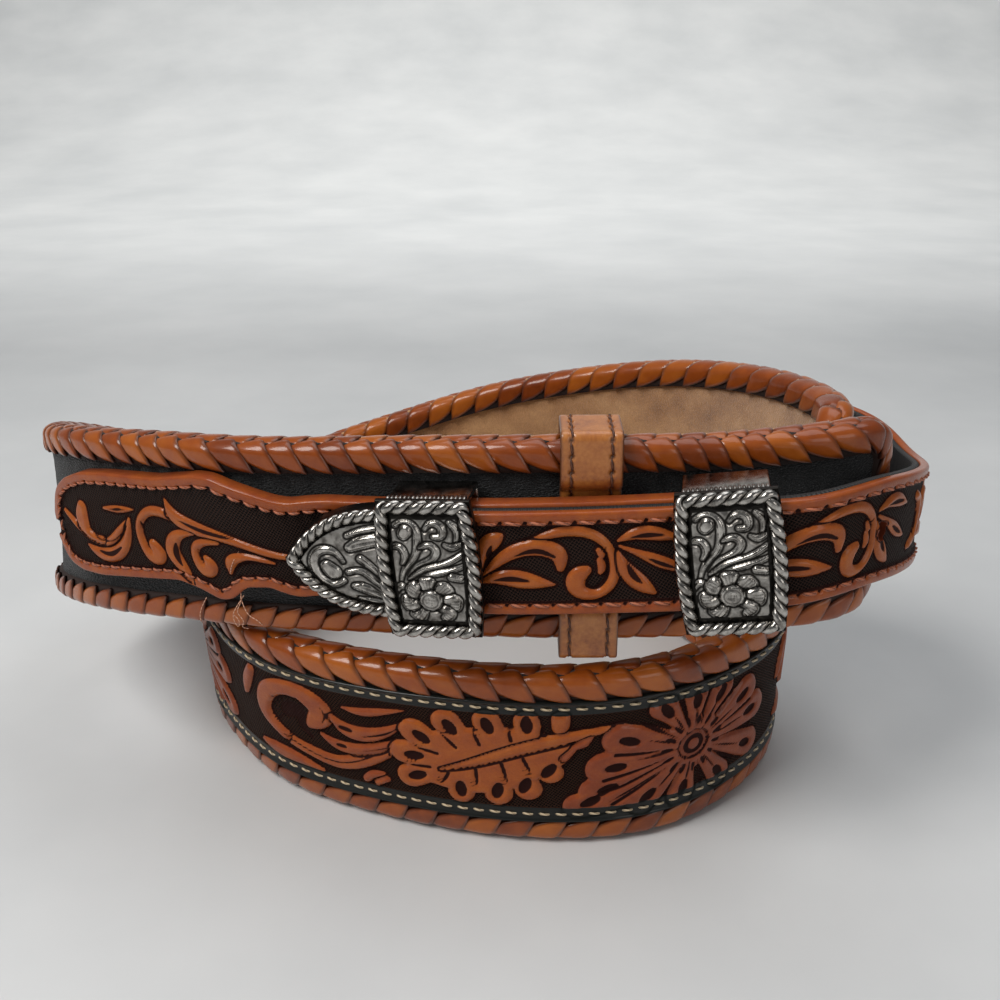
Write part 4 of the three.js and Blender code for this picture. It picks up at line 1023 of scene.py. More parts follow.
for shape in ([(9.4, 0.2, 0.14), (11.4, -1.6, 0.2), (15.5, -1.8, 0.18), (19.6, 1.4, 0.12)],
              [(11, -4.4, 0.12), (14, -4.8, 0.5), (17.4, -3.0, 0.2)],
              [(16.5, 4.8, 0.1), (18.8, 5.0, 0.28), (20.6, 5.1, 0.1)],
              [(24.2, 3.2, 0.14), (23.9, 0.4, 0.22), (24.3, -2.4, 0.14)],
              [(34.4, 4.2, 0.14), (38.4, 2.9, 0.42), (44, 1.9, 0.16)],
              [(32.2, -0.8, 0.2), (31.6, -3, 0.62), (32.4, -5.4, 0.2)],
              [(37, -1.4, 0.1), (36.9, -3, 0.18), (37.4, -4.2, 0.1)],
              [(44, -3.6, 0.2), (46.4, -2.4, 0.36), (48, -2.3, 0.1)],
              [(10.8, -0.4, 0.12), (10.9, 1.2, 0.2)], [(12.3, -0.9, 0.12), (12.5, 0.6, 0.2)],
              [(25.0, 3.4, 0.1), (26.0, 2.6, 0.22)], [(24.6, 1.2, 0.1), (25.8, 0.8, 0.22)]):
    billet.cut(at_head(shape), 0.24)
head_line = outline_of(billet_at[billet_at > 97], billet_low[billet_at > 97], billet_high[billet_at > 97])
stitch_path("billet_head_stitches", billet, lifted, drawn_in(head_line, STITCH_INSET + 0.25), 2.75, 2.3, 0.27,
            lambda along: 1.42 + 0 * along, rust_thread, "tooled_leather")
billet.finish("tooled_leather", ["buckle_billet"], billet_leather)


# THE TIP BILLET
# The other narrow tongue leaves the strap behind, swings round the buckle end and comes back over the
# front through both keepers. Carved leather lies on a thin black backing, and a hole is punched through.
TONGUE_SEATED = [(0.881, 0.05), (0.897, 0.075)]
TONGUE_FREE = [
    (0.4, 0.189, 1.52), (0.497, 0.094, 1.55), (0.554, -0.009, 1.512), (0.568, -0.132, 1.468),
    (0.56, -0.255, 1.5), (0.534, -0.368, 1.575), (0.494, -0.472, 1.65), (0.443, -0.557, 1.7),
]
tongue_rows = [(*coil.place(share * coil.length, SEWN_OUT, BELT_WIDTH / 2 + rise * BELT_WIDTH), 0)
               for share, rise in TONGUE_SEATED]
tongue_rows += [(x * COIL_WIDTH, y * COIL_DEPTH, lift * BELT_WIDTH, 0) for x, y, lift in TONGUE_FREE]
tongue_rows += [(*coil.place(share * COIL_WIDTH, SEWN_OUT + KEEPER_LIFT + BILLET_PITCH + spring * BELT_WIDTH,
                             BELT_WIDTH / 2 + rise * BELT_WIDTH), coil.sample(share * COIL_WIDTH)[3])
                for share, spring, rise in FRONT_ROWS]
tongue = Course(tongue_rows)
TONGUE_STARTS = [(0, 0.3), (1.2, 0.62), (3.5, 0.88), (7, 1)]
TONGUE_SPLIT, THROAT_SHARE = -0.15, 0.95
HOLE_FROM_NOSE, HOLE_RADIUS = 106, 1.75

tongue_at = np.concatenate([np.linspace(0, 7, 24), np.linspace(7.3, tongue.length - TIP_LENGTH - 0.6, 640)])
tongue_half = BILLET_HALF * np.interp(tongue_at, *np.array(TONGUE_STARTS).T)
tongue_half *= np.interp(tongue_at, [tongue.length - TIP_LENGTH - 4, tongue.length - TIP_LENGTH - 0.6],
                         [1, THROAT_SHARE])


def carve_tongue_unit(layer):
    """One run of the billet's pattern: a scroll with a ball end among leaves."""
    layer.swell([[(-8.3, 3.6, 0.4), (-1.6, 6.0, 0.95), (4.3, 4.5, 0.9), (6.5, 0.6, 0.8), (5.9, -4, 0.9),
                  (3.2, -5.9, 0.95), (0.2, -4.6, 1.5), (0.4, -2.4, 1.6), (1.9, -1.3, 0.9)]], 0.6, 0.75)
    layer.cut([[(5.3, 3.2, 0.12), (5.5, 0, 0.2), (4.6, -3.4, 0.2), (2.6, -4.7, 0.2), (1.6, -3.2, 0.12)]])
    layer.swell([[(4.0, 2.4, 0.5), (4.5, 1.5, 0.6)], [(4.2, 0.5, 0.6), (4.5, -0.9, 0.7), (4.2, -1.8, 0.4)]],
                0.5, 0.7)
    for leaf in ([(-15.9, -1.2, 0.3), (-15.3, 2.4, 1.2), (-13.2, 4.6, 1.35), (-12.0, 5.4, 0.5)],
                 [(-15.6, -2.2, 0.3), (-11.4, 1.6, 1.15), (-6.0, 3.1, 1.5), (-2.6, 1.6, 1.4),
                  (-2.4, -0.8, 0.7)],
                 [(-16, -3.4, 0.3), (-13, -2.6, 1.2), (-9.6, -2.8, 1.7), (-5.8, -3.5, 1.0), (-3.4, -3.9, 0.2)],
                 [(7.4, 4.0, 0.3), (10.4, 5.2, 1.1), (13.6, 5.1, 1.3), (17.4, 4.2, 0.4)],
                 [(7.6, 3.0, 0.3), (11, 1.5, 0.7), (15, -0.4, 1.15), (18.4, -1.8, 0.5)],
                 [(7.3, 1.9, 0.3), (8.6, -1.4, 1.3), (10.8, -4.0, 1.5), (13.1, -5.9, 0.4)],
                 [(-21.6, -4.6, 0.9), (-18.6, -3.2, 1.1), (-17.9, 0.2, 1.2), (-18.7, 3.6, 1.1),
                  (-21.4, 4.8, 0.9)]):
        layer.swell([leaf], 0.6, 0.72)
    layer.cut([[(-14.6, 0.2, 0.1), (-14.2, 2.2, 0.45), (-13.6, 3.6, 0.2)],
               [(-10, 1.6, 0.1), (-6, 2.6, 0.5), (-3.4, 1.5, 0.3)],
               [(-13.8, -2.9, 0.1), (-10.8, -2.6, 0.5), (-7.8, -3.0, 0.2)],
               [(9.4, 4.6, 0.1), (12.4, 5.0, 0.45), (15.4, 4.9, 0.1)],
               [(12, 0.9, 0.1), (14.6, -0.4, 0.4), (17, -1.3, 0.1)],
               [(8.7, 0, 0.1), (9.8, -2.4, 0.55), (11.2, -3.9, 0.15)],
               [(-19.6, -3.6, 0.12), (-18.8, 0, 0.2), (-19.8, 3.6, 0.12)]], 0.26)


tip_billet = CarvedLayer("carved_tip_billet", tongue, tongue_at, -tongue_half, tongue_half, TONGUE_SPLIT, 1.6,
                         56)
rim_of(tip_billet, outline_of(tongue_at, -tongue_half, tongue_half)[::3])
sunk_field(tip_billet, RIM, 0.6)
for unit in range(5):
    tip_billet.spot = (-(tongue.length - 50.7 - 46 * unit), 0, 1)
    carve_tongue_unit(tip_billet)
long_edge = np.linspace(10, tongue.length - TIP_LENGTH - 2, 900)
for label, height in (("upper", BILLET_HALF - STITCH_INSET), ("lower", STITCH_INSET - BILLET_HALF)):
    stitch_path("tip_billet_stitches_" + label, tip_billet, tongue,
                np.stack([long_edge, 0 * long_edge + height], 1),
                4.02, 3.1, 0.3, lambda along: 1.44 + 0 * along, rust_thread, "tooled_leather")
hole_spot = -(tongue.length - HOLE_FROM_NOSE)
tip_billet.spot = (0, 0, 1)
tip_billet.cut([[(hole_spot - 0.05, 0, HOLE_RADIUS + 0.25), (hole_spot + 0.05, 0, HOLE_RADIUS + 0.25)]], 0.0)
tip_billet.finish("tooled_leather", ["tip_billet"], billet_leather)

backing_leather, tree, shader = new_material("black_backing", (0.012, 0.011, 0.011), 0.6)
where = node(tree, "Attribute", attribute_name="flat").outputs["Vector"]
ribs = node(tree, "TexWave", {"Vector": where, "Scale": 0.42, "Distortion": 1.2},
            bands_direction="X").outputs["Fac"]
bump(tree, shader, ribs, 0.7, 0.25)
backing = CarvedLayer("black_tongue_backing", tongue, tongue_at[::3], -tongue_half[::3] + 0.12,
                      tongue_half[::3] - 0.12,
                      -1.6, TONGUE_SPLIT, 9)
backing.finish("black_leather", ["tip_billet_backing"], backing_leather)

point, _, out, _ = tongue.axes(np.array([tongue.length - HOLE_FROM_NOSE]))
bpy.ops.object.select_all(action="DESELECT")
bpy.ops.mesh.primitive_cylinder_add(vertices=40, radius=HOLE_RADIUS / 1000, depth=0.012,
                                    location=(point[0] + ORIGIN) / 1000,
                                    rotation=(math.pi / 2, 0, math.atan2(out[0, 0], -out[0, 1])))
punch = bpy.context.object
for layer in (tip_billet, backing):
    bpy.ops.object.select_all(action="DESELECT")
    bpy.context.view_layer.objects.active = layer.piece
    layer.piece.select_set(True)
    through = layer.piece.modifiers.new("hole", "BOOLEAN")
    through.operation = "DIFFERENCE"
    through.object = punch
    through.solver = "EXACT"
    bpy.ops.object.modifier_apply(modifier="hole")
bpy.data.objects.remove(punch)


# THE SILVER SET
# The keepers and the tip are cast silver with a twisted rope rim round an engraved and domed panel. The
# cuts and valleys are dark with old polish, and the high places are worn bright.
KEEPER_WIDTH, KEEPER_HEIGHT, KEEPER_BULGE, KEEPER_SPACING = 16.2, 25.8, 0.9, 50
KEEPER_FRONT, KEEPER_PLATE, KEEPER_BACK, KEEPER_WALL, KEEPER_INNER_HIGH = 2.5, 1.3, -6.3, 1.0, 10.8
ROPE_RADIUS, ROPE_LAY = 1.22, 4.8

silver, tree, shader = new_material("old_silver", (0.6, 0.59, 0.56), 0.26, metallic=1.0)
where = node(tree, "TexCoord").outputs["Object"]
ink = node(tree, "Attribute", attribute_name="ink").outputs["Fac"]
smudge = noise(tree, where, 700, 4)
grit = noise(tree, where, 5200, 2)
bright = ramp(tree, smudge, (0.3, (0.13, 0.118, 0.106)), (0.62, (0.50, 0.475, 0.44)))
dark = ramp(tree, ink, (0.3, (0, 0, 0)), (0.75, (1, 1, 1)))
tree.links.new(blend(tree, dark, bright, (0.022, 0.020, 0.018, 1)), shader.inputs["Base Color"])
tree.links.new(ramp(tree, math_node(tree, "ADD", math_node(tree, "MULTIPLY", smudge, 0.5), ink),
                    (0.15, (0.16, 0.16, 0.16)),
                    (0.9, (0.44, 0.44, 0.44))), shader.inputs["Roughness"])
bump(tree, shader, grit, 0.35, 0.05)


class Rigid:
    """The straight axes of a stiff piece on a course."""

    def __init__(self, course, at, start=0.0):
        point, run, out, up = (value[0] for value in course.axes(np.array([at])))
        self.point, self.run, self.out, self.up = point - run * start, run, out, up

    def place(self, at, outward, height):
        return (self.point + np.asarray(at)[..., None] * self.run + np.asarray(outward)[..., None] * self.out
                + np.asarray(height)[..., None] * self.up)


def rope(name, axes, line, closed, radius, lay, lift):
    """Two silver strands twisted round each other along a line of (along, up) points."""
    line = np.asarray(line, float)
    if closed:
        line = np.concatenate([line, line[:1]])
    lengths = np.concatenate([[0], np.cumsum(np.linalg.norm(np.diff(line, axis=0), axis=1))])
    turns = max(round(lengths[-1] / lay), 1)
    count = turns * 16
    at = np.linspace(0, lengths[-1], count + 1)
    spot = np.stack([np.interp(at, lengths, line[:, k]) for k in (0, 1)], 1)
    kernel = np.ones(5) / 5
    if closed:
        ring = np.concatenate([spot[-3:-1], spot, spot[1:3]])
        spot = np.stack([np.convolve(ring[:, k], kernel, "valid") for k in (0, 1)], 1)
    way = np.gradient(spot, axis=0)
    if closed:
        way[0] = way[-1] = spot[1] - spot[-2]
    way /= np.linalg.norm(way, axis=1, keepdims=True)
    side = np.stack([-way[:, 1], way[:, 0]], 1)
    strands, inks = [], []
    sides = 12
    around = np.linspace(0, 2 * np.pi, sides, endpoint=False)
    for strand in (0, np.pi):
        phase = 2 * np.pi * turns * at / lengths[-1] + strand
        radial = np.column_stack([side * np.cos(phase)[:, None], np.sin(phase)])
        centre = np.column_stack([spot, np.full(len(at), lift)]) + radial * radius * 0.5
        along = np.gradient(centre, axis=0)
        if closed:
            along[0] = along[-1] = centre[1] - centre[-2]
        along /= np.linalg.norm(along, axis=1, keepdims=True)
        other = np.cross(along, radial)
        other /= np.linalg.norm(other, axis=1, keepdims=True)
        first = np.cross(other, along)
        tube = centre[:, None] + radius * 0.56 * (np.cos(around)[:, None] * first[:, None]
                                                  + np.sin(around)[:, None] * other[:, None] * 1.12)
        strands.append((axes.place(tube[..., 0], tube[..., 2], tube[..., 1]) + ORIGIN) / 1000)
        inks.append(np.broadcast_to(np.clip(0.55 - np.cos(around) * 1.1, 0, 1), tube.shape[:2]))
    rings = len(at)
    faces = [[i * sides + j, i * sides + (j + 1) % sides, (i + 1) * sides + (j + 1) % sides,
              (i + 1) * sides + j]
             for i in range(rings - 1) for j in range(sides)]
    points = np.stack(strands).reshape(2, -1, 3)
    piece = joined_copies(name, points, np.array(faces), {"ink": np.stack(inks)})
    dress(piece, "engraved_silver", [], silver)
    return piece


def keeper_outline(inset, count=40):
    """The keeper's outline: straight top and bottom, sides that swell in the middle."""
    high, half = KEEPER_HEIGHT / 2 - inset, KEEPER_WIDTH / 2 - inset
    v = np.linspace(-1, 1, count)
    right = np.stack([half + KEEPER_BULGE * (1 - v ** 2), v * high], 1)
    return np.concatenate([right, -right])


KEEPER_RAISED = [
    [(-5.1, 8.4, 0.4), (-3.4, 9.0, 0.6), (-1.5, 7.9, 0.65), (-1.3, 5.6, 0.6), (-2.0, 3.0, 0.5),
     (-4.0, 0.6, 0.4), (-5.1, -2.4, 0.2)],
    [(-3.7, 7.0, 1.0), (-3.3, 7.5, 1.1)], [(-5.9, 4.4, 0.3), (-4.6, 4.6, 0.6), (-3.8, 3.4, 0.6),
                                           (-4.4, 1.4, 0.3)],
    [(0.2, 8.0, 0.3), (1.4, 9.0, 0.5), (3.0, 8.3, 0.6), (2.9, 6.8, 0.6), (1.6, 6.7, 0.4)],
    [(4.4, 9.0, 0.4), (5.6, 7.6, 0.6), (5.4, 5.6, 0.4)], [(3.4, 5.2, 0.3), (4.6, 4.6, 0.5), (6.0, 5.0, 0.3)],
    [(-0.9, 4.6, 0.3), (0.6, 5.2, 0.5), (1.8, 4.2, 0.6), (1.2, 2.8, 0.6), (-1.4, 1.4, 0.4), (-3.4, -0.8, 0.2)],
    [(-3.4, -1.4, 0.2), (-0.8, 0.5, 0.4), (2.6, 1.5, 0.5), (6.2, 3.2, 0.5)],
    [(-3.0, -2.2, 0.2), (0, -0.6, 0.4), (3.4, 0.2, 0.5), (6.3, 1.0, 0.4)],
    [(4.0, -0.9, 0.6), (5.6, -1.4, 0.6)], [(-6.2, -4.2, 0.3), (-5.2, -3.0, 0.5), (-4.0, -3.4, 0.5)],
]
KEEPER_FLOWER = (-0.1, -5.5)


def engrave_keeper(face):
    x0, y0 = KEEPER_FLOWER
    for shape in KEEPER_RAISED:
        face.swell([shape], 0.26, line=0.42, soft=0.55)
    for angle, reach, half in ((95, 3.4, 1.35), (40, 3.7, 1.3), (-8, 4.3, 1.35), (-48, 4.2, 1.1),
                               (-132, 4.2, 1.1), (-172, 4.3, 1.3),
                               (145, 3.7, 1.3)):
        c, s = math.cos(math.radians(angle)), math.sin(math.radians(angle))
        face.swell([[(x0 + 1.6 * c, y0 + 1.6 * s, 0.6),
                     (x0 + reach * c - 0.5 * s, y0 + reach * s + 0.5 * c, half * 0.8),
                     (x0 + reach * c + 0.5 * s, y0 + reach * s - 0.5 * c, half * 0.8)]], 0.28, line=0.42,
                     soft=0.6)
        face.cut([[(x0 + 2.3 * c + k * s, y0 + 2.3 * s - k * c, 0.06), (x0 + (reach + 0.5) * c + 1.8 * k * s,
                   y0 + (reach + 0.5) * s - 1.8 * k * c, 0.13)] for k in (-0.35, 0, 0.35)], 0.1)
    face.swell([[(x0 - 0.1, y0, 1.9), (x0 + 0.1, y0, 1.9)]], 0.3, line=0.42, soft=0.4)
    face.cut([[(x0 + 1.35 * math.cos(a), y0 + 1.35 * math.sin(a),
                0.14) for a in np.radians(range(0, 361, 24))]], 0.14)
    face.cut([[(x0 + 0.7 * math.cos(a), y0 + 0.7 * math.sin(a), 0.1),
               (x0 - 0.3 * math.sin(a), y0 + 0.3 * math.cos(a), 0.1)]
              for a in np.radians([20, 110, 200, 290])], 0.12)


def silver_keeper(label, node_name, at):
    """A keeper: a loop of flat bar whose face carries the engraved panel and its rope rim."""
    axes = Rigid(tongue, at)
    half = KEEPER_WIDTH / 2
    across = np.concatenate([-half - KEEPER_BULGE * np.linspace(0.999, 0.04, 6), np.linspace(-half, half, 110),
                             half + KEEPER_BULGE * np.linspace(0.04, 0.999, 6)])
    high = KEEPER_HEIGHT / 2 * np.sqrt(np.clip(1 - (np.abs(across) - half) / KEEPER_BULGE, 0.001, 1))
    face = CarvedLayer("keeper_face_" + label, axes, across, -high, high, KEEPER_FRONT,
                       KEEPER_FRONT + KEEPER_PLATE, 170, 0.4)
    face.ink += 0.42
    engrave_keeper(face)
    u = np.abs(face.x) / (half - 2.6 + KEEPER_BULGE * (1 - (face.y / KEEPER_HEIGHT * 2) ** 2))
    v = np.abs(face.y) / (KEEPER_HEIGHT / 2 - 2.6)
    edge = np.maximum(u, v)
    valley = np.clip((edge - 0.98) / 0.10, 0, 1)
    face.relief = np.where(valley > 0, 0, face.relief)
    face.ink = np.clip(np.where(edge > 0.94, 1.0, face.ink), 0, 1)
    dome = 1.1 * np.clip(1 - u ** 3, 0, 1) * np.clip(1 - v ** 5, 0, 1)
    face.relief = 2.0 * face.relief + dome - 0.3 * valley
    face.rim += 2
    face.finish("engraved_silver", [node_name], silver)
    rope("keeper_rope_" + label, axes, keeper_outline(ROPE_RADIUS - 0.05), True, ROPE_RADIUS, ROPE_LAY,
         KEEPER_FRONT + KEEPER_PLATE + 0.05)
    bar_half, top = (KEEPER_WIDTH - 2) / 2, KEEPER_INNER_HIGH
    back = KEEPER_BACK - KEEPER_WALL
    front = KEEPER_FRONT + 0.3
    bars = [(back, front, top, top + KEEPER_WALL + 0.1), (back, front, -top - KEEPER_WALL - 0.1, -top),
            (back, KEEPER_BACK, -top - 0.1, top + 0.1)]
    for number, (o0, o1, h0, h1) in enumerate(bars):
        bpy.ops.object.select_all(action="DESELECT")
        bpy.ops.mesh.primitive_cube_add(size=2)
        bar = bpy.context.object
        bar.name = bar.data.name = f"keeper_bar_{number}_{label}"
        corners = points_of(bar)
        flat = np.stack([corners[:, 0] * bar_half, (h0 + h1) / 2 + corners[:, 1] * (h1 - h0) / 2,
                         (o0 + o1) / 2 + corners[:, 2] * (o1 - o0) / 2], 1)
        set_points(bar, laid(axes, flat))
        soften = bar.modifiers.new("soft", "BEVEL")
        soften.width = 0.00035
        soften.segments = 3
        bpy.ops.object.modifier_apply(modifier="soft")
        bpy.ops.object.shade_smooth_by_angle(angle=math.radians(40))
        dress(bar, "engraved_silver", [], silver)
    beads = []
    for k in np.arange(-bar_half + 0.4, bar_half, 0.74):
        angle = np.linspace(0, 2 * np.pi, 9)[:-1]
        rings = [(-1.0, 0.15), (-0.6, 0.42), (0, 0.5), (0.6, 0.42), (1.0, 0.15)]
        beads.append([[k + r * math.cos(a) * 0.75, top + KEEPER_WALL + 0.15 + r * math.sin(a), 0.7 + z]
                      for z, r in rings for a in angle])
    beads = np.array(beads)
    points = (axes.place(-beads[..., 0], beads[..., 2], beads[..., 1]) + ORIGIN) / 1000
    faces = np.array([[i * 8 + j, i * 8 + (j + 1) % 8, (i + 1) * 8 + (j + 1) % 8, (i + 1) * 8 + j]
                      for i in range(4) for j in range(8)])
    line = joined_copies("keeper_beads_" + label, points, faces, {"ink": np.full(points.shape[:2], 0.2)})
    dress(line, "engraved_silver", [], silver)


keeper_at = tongue.length - TIP_SHOWN - KEEPER_WIDTH / 2
silver_keeper("near_tip", "keeper_near_tip", keeper_at)
silver_keeper("near_bend", "keeper_near_bend", keeper_at - KEEPER_SPACING)

TIP_HEIGHT, TIP_STRAIGHT, TIP_HALF = 20.6, 6, 1.8
TIP_RAISED = [
    [(-13.4, 0.2, 0.3), (-15.2, 2.2, 0.6), (-18.0, 1.7, 0.8), (-19.0, -0.6, 0.8), (-18.0, -3.2, 0.7),
     (-15.6, -4.6, 0.6), (-13.6, -3.6, 0.5)],
    [(-16.4, -1.0, 1.2), (-15.4, -2.0, 1.5)],
    [(-12.0, 3.0, 0.8), (-10.2, 3.9, 1.1), (-6.0, 4.9, 0.9)],
    [(-12.4, 5.2, 0.4), (-9.0, 6.4, 0.6), (-6.0, 6.9, 0.5)],
    [(-10.2, 0.9, 0.7), (-8.4, -0.6, 0.6), (-6.0, -3.4, 0.3)],
    [(-12.6, -1.8, 0.5), (-10.6, -1.4, 0.5), (-8.0, -3.2, 0.5), (-6.0, -4.8, 0.3)],
    [(-11.6, -4.6, 0.6), (-10.2, -4.8, 0.9), (-7.6, -6.2, 0.6), (-6.0, -6.8, 0.3)],
    [(-11.0, -7.2, 0.3), (-8.6, -7.6, 0.5), (-6.0, -8.2, 0.4)],
]


def tip_high(at, inset=0.0):
    """Half the tip's height by length from its throat: straight, then a curve to the nose."""
    t = np.linspace(0, 1, 60)
    high, nose, pull = TIP_HEIGHT / 2 - inset, TIP_LENGTH - 1.4 * inset, TIP_LENGTH * 0.77 - inset
    along = (1 - t) ** 2 * TIP_STRAIGHT + 2 * t * (1 - t) * pull + t ** 2 * nose
    return np.interp(at, along, high * ((1 - t) ** 2 + 2 * t * (1 - t)), left=high, right=0)


tip_axes = Rigid(tongue, tongue.length - TIP_LENGTH / 2, TIP_LENGTH / 2)
tip_at = np.concatenate([np.linspace(0.3, 21, 110), TIP_LENGTH - 3 * np.linspace(0.97, 0.0, 30) ** 2])
tip_edge = np.maximum(tip_high(tip_at), 0.15)
tip = CarvedLayer("engraved_silver_tip", tip_axes, tip_at, -tip_edge, tip_edge, -TIP_HALF, TIP_HALF - 0.1, 120,
                  0.5)
rim_of(tip, np.concatenate([np.stack([tip_at, tip_edge], 1), np.stack([tip_at, -tip_edge], 1)]))
tip.ink += 0.42
for shape in TIP_RAISED:
    tip.swell([shape], 0.28, line=0.45, soft=0.6)
tip.cut([[(-15.6, -0.2, 0.08), (-16.8, 0.7, 0.14), (-18.0, -0.6, 0.14), (-17.4, -2.4, 0.1)],
         [(-11.4, 3.5, 0.1), (-9.2, 4.1, 0.16), (-6.4, 4.7, 0.1)],
         [(-10.6, -4.6, 0.08), (-8.2, -5.4, 0.16), (-6.4, -6.2, 0.08)]], 0.14)
swelling = np.clip((tip.rim - 2.0) / 4.5, 0, 1)
tip.ink = np.where(tip.rim < 2.5, 1.0, np.clip(tip.ink, 0, 1))
tip.relief = np.where(tip.rim < 2.3, -0.2, 2.0 * tip.relief) + 0.6 * swelling * (2 - swelling)
tip.rim += 2
tip.finish("engraved_silver", ["silver_tip"], silver)
inner_at = np.concatenate([np.linspace(5.0, 20, 40), np.linspace(20, TIP_LENGTH - 1.35, 30)])
inner_high = tip_high(inner_at, 0.95)
rope("silver_tip_rope", tip_axes, np.concatenate([np.stack([inner_at, inner_high], 1),
                                                  np.stack([inner_at, -inner_high], 1)[::-1]]),
     False, 1.1, 4.0, TIP_HALF - 0.05)


# THE TAN LOOP
# A plain strap of tan leather goes round the buckle end between the keepers. It is smooth and waxed,
# stitched near both of its edges, and dips to the black leather between the two laced edges.
LOOP_SHORT_OF_MIDDLE, LOOP_WIDTH, LOOP_THICK, LOOP_SLACK, LOOP_OVER_LACE, LOOP_STEP = 2.2, 10.6, 1.6, 0.3, 1.4, 1.5
LACE_HALF, LACE_REACH = 3.45, 5.6


class LoopCourse:
    """The way round the strap that the tan loop takes, its length running round the section."""

    def __init__(self, at):
        over, dip = LACE_HALF + LOOP_SLACK + LOOP_THICK / 2, STACK_HALF + LOOP_SLACK + LOOP_THICK / 2
        end, edge = LOOP_SLACK + LOOP_THICK / 2, LACE_REACH + LOOP_OVER_LACE + LOOP_THICK / 5
        step = edge + LOOP_STEP
        corners = np.array([(-over, -end), (over, -end), (over, edge), (dip, step), (dip, BELT_WIDTH - step),
                            (over, BELT_WIDTH - edge), (over, BELT_WIDTH + end), (-over, BELT_WIDTH + end),
                            (-over, -end)])
        corners = np.concatenate([[(-over, BELT_WIDTH / 2)], corners[:-1], [(-over, BELT_WIDTH / 2)]])
        lengths = np.concatenate([[0], np.cumsum(np.linalg.norm(np.diff(corners, axis=0), axis=1))])
        self.length = lengths[-1]
        self.steps = np.linspace(0, self.length, 600)
        line = np.stack([np.interp(self.steps, lengths, corners[:, k]) for k in (0, 1)], 1)
        weight = np.hanning(15) / np.hanning(15).sum()
        padded = np.concatenate([line[-8:-1], line, line[1:8]])
        self.line = np.stack([np.convolve(padded[:, k], weight, "valid") for k in (0, 1)], 1)
        way = np.gradient(self.line, axis=0)
        way[0] = way[-1] = self.line[1] - self.line[-2]
        way /= np.linalg.norm(way, axis=1, keepdims=True)
        self.normal = np.stack([way[:, 1], -way[:, 0]], 1)
        self.axes = Rigid(coil, at)

    def place(self, at, outward, height):
        spot = [np.interp(at, self.steps, self.line[:, k]) + outward * np.interp(at, self.steps,
                                                                                 self.normal[:, k])
                for k in (0, 1)]
        return self.axes.place(height, *spot)


tan_leather, tree, shader = new_material("tan_leather", (0.5, 0.2, 0.06), 0.36, coat=0.3)
where = node(tree, "Attribute", attribute_name="flat").outputs["Vector"]
mottle = math_node(tree, "ADD", math_node(tree, "MULTIPLY", noise(tree, where, 0.25, 4), 0.6),
                   math_node(tree, "MULTIPLY", noise(tree, where, 1.6, 4), 0.4))
tan = ramp(tree, mottle, (0.32, (0.24, 0.065, 0.014)), (0.5, (0.38, 0.125, 0.024)),
           (0.68, (0.48, 0.180, 0.040)))
ink = node(tree, "Attribute", attribute_name="ink").outputs["Fac"]
tree.links.new(blend(tree, ink, tan, (0.045, 0.014, 0.008, 1)), shader.inputs["Base Color"])
bump(tree, shader, noise(tree, where, 4.5, 4), 0.3, 0.12)

between = tongue.place(keeper_at - KEEPER_SPACING / 2 - LOOP_SHORT_OF_MIDDLE, 0, 0)
loop_at = coil.lengths[np.linalg.norm(coil.points[:, :3] - between, axis=1).argmin()]
loop_course = LoopCourse(float(loop_at))
loop_steps = np.linspace(0, loop_course.length, 360)
loop = CarvedLayer("tan_loop_strap", loop_course, loop_steps, 0 * loop_steps - LOOP_WIDTH / 2,
                   0 * loop_steps + LOOP_WIDTH / 2, -LOOP_THICK / 2, LOOP_THICK / 2, 34, 0.4)
loop.ink = np.clip(1 - loop.rim / 0.5, 0, 0.85)
dark_thread = thread_material("dark_thread", (0.12, 0.04, 0.018), (0.03, 0.01, 0.006))
for label, height in (("left", LOOP_WIDTH / 2 - 1.9), ("right", 1.9 - LOOP_WIDTH / 2)):
    edge_row = np.linspace(1, loop_course.length - 1, 400)
    stitch_path("tan_loop_stitches_" + label, loop, loop_course, np.stack([edge_row, 0 * edge_row + height], 1),
                2.9, 2.4, 0.24, lambda along: LOOP_THICK / 2 - 0.14 + 0 * along, dark_thread, "tan_leather")
loop.finish("tan_leather", ["tan_loop"], tan_leather)


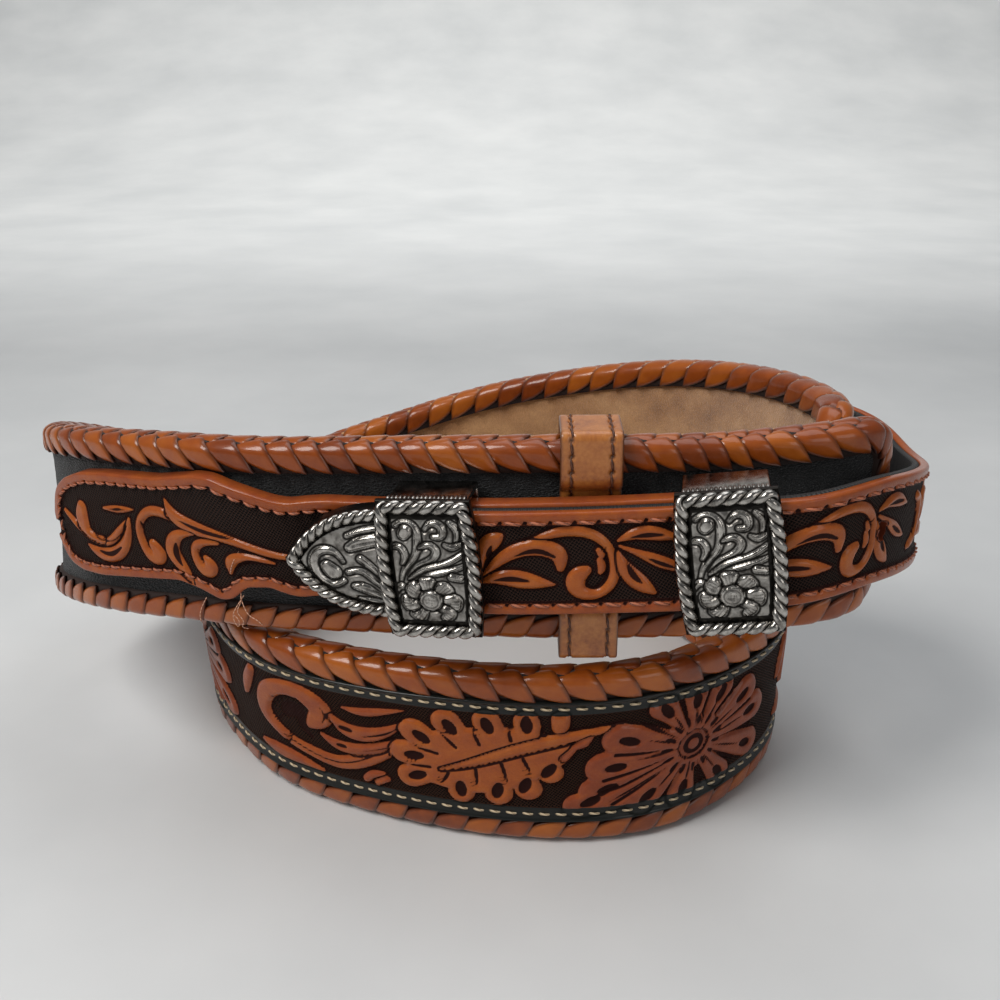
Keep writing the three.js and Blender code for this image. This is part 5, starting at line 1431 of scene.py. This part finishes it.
# THE LOOSE THREADS
# A few ends of thread have worked loose where the head of the buckle billet narrows, and hang over the
# lacing below it.
THREAD_RADIUS, THREAD_REACH = 0.09, 0.62
THREADS = [
    [(119.5, 10.4, 5.6), (119.0, 8.2, 7.2), (119.8, 5.6, 7.6), (118.4, 3.0, 7.9), (119.2, 0.6, 7.6),
     (118.6, -1.0, 6.6)],
    [(119.0, 10.0, 5.7), (120.6, 7.0, 7.4), (121.4, 3.6, 7.9), (120.4, 1.4, 8.1), (119.6, 3.4, 8.3),
     (120.8, 5.2, 8.1)],
    [(118.2, 19.6, 5.2), (119.6, 17.0, 6.1), (120.9, 14.2, 6.2), (121.8, 11.6, 5.9)],
    [(119.6, 9.8, 5.7), (117.6, 7.6, 7.5), (115.8, 5.2, 8.0), (114.2, 4.6, 8.3), (112.9, 2.6, 8.0)],
    [(126.4, 8.6, 5.6), (126.9, 6.2, 7.3), (127.3, 3.8, 7.9), (127.2, 2.2, 8.0)],
]
pale_thread = thread_material("pale_thread", (0.62, 0.36, 0.24), (0.34, 0.14, 0.08))
for number, rows in enumerate(THREADS):
    rows = np.array(rows, float)
    rows[:, :2] = rows[0, :2] + THREAD_REACH * (rows[:, :2] - rows[0, :2])
    knots = np.concatenate([[0], np.cumsum(np.linalg.norm(np.diff(rows, axis=0), axis=1))])
    line_at = np.linspace(0, knots[-1], 48)
    spots = np.stack([smooth_curve(knots, rows[:, k])(line_at) for k in range(3)], 1)
    line = coil.place(spots[:, 0], spots[:, 2], spots[:, 1]) + ORIGIN
    way = np.gradient(line, axis=0)
    way /= np.linalg.norm(way, axis=1, keepdims=True)
    first = np.cross(way, [0.3, 1, 0.2])
    first /= np.linalg.norm(first, axis=1, keepdims=True)
    second = np.cross(way, first)
    ring = np.linspace(0, 2 * np.pi, 6, endpoint=False)[:, None]
    tube = line[:, None] + THREAD_RADIUS * (np.cos(ring) * first[:, None] + np.sin(ring) * second[:, None])
    faces = np.array([[i * 6 + j, i * 6 + (j + 1) % 6, (i + 1) * 6 + (j + 1) % 6, (i + 1) * 6 + j]
                      for i in range(47) for j in range(6)])
    loose = joined_copies(f"loose_thread_{number}", tube[None].reshape(1, -1, 3) / 1000, faces,
                          {"twist": np.tile(0.5 + 0.5 * np.sin(line_at * 9), (6, 1)).T[None]})
    dress(loose, "tooled_leather", [], pale_thread)
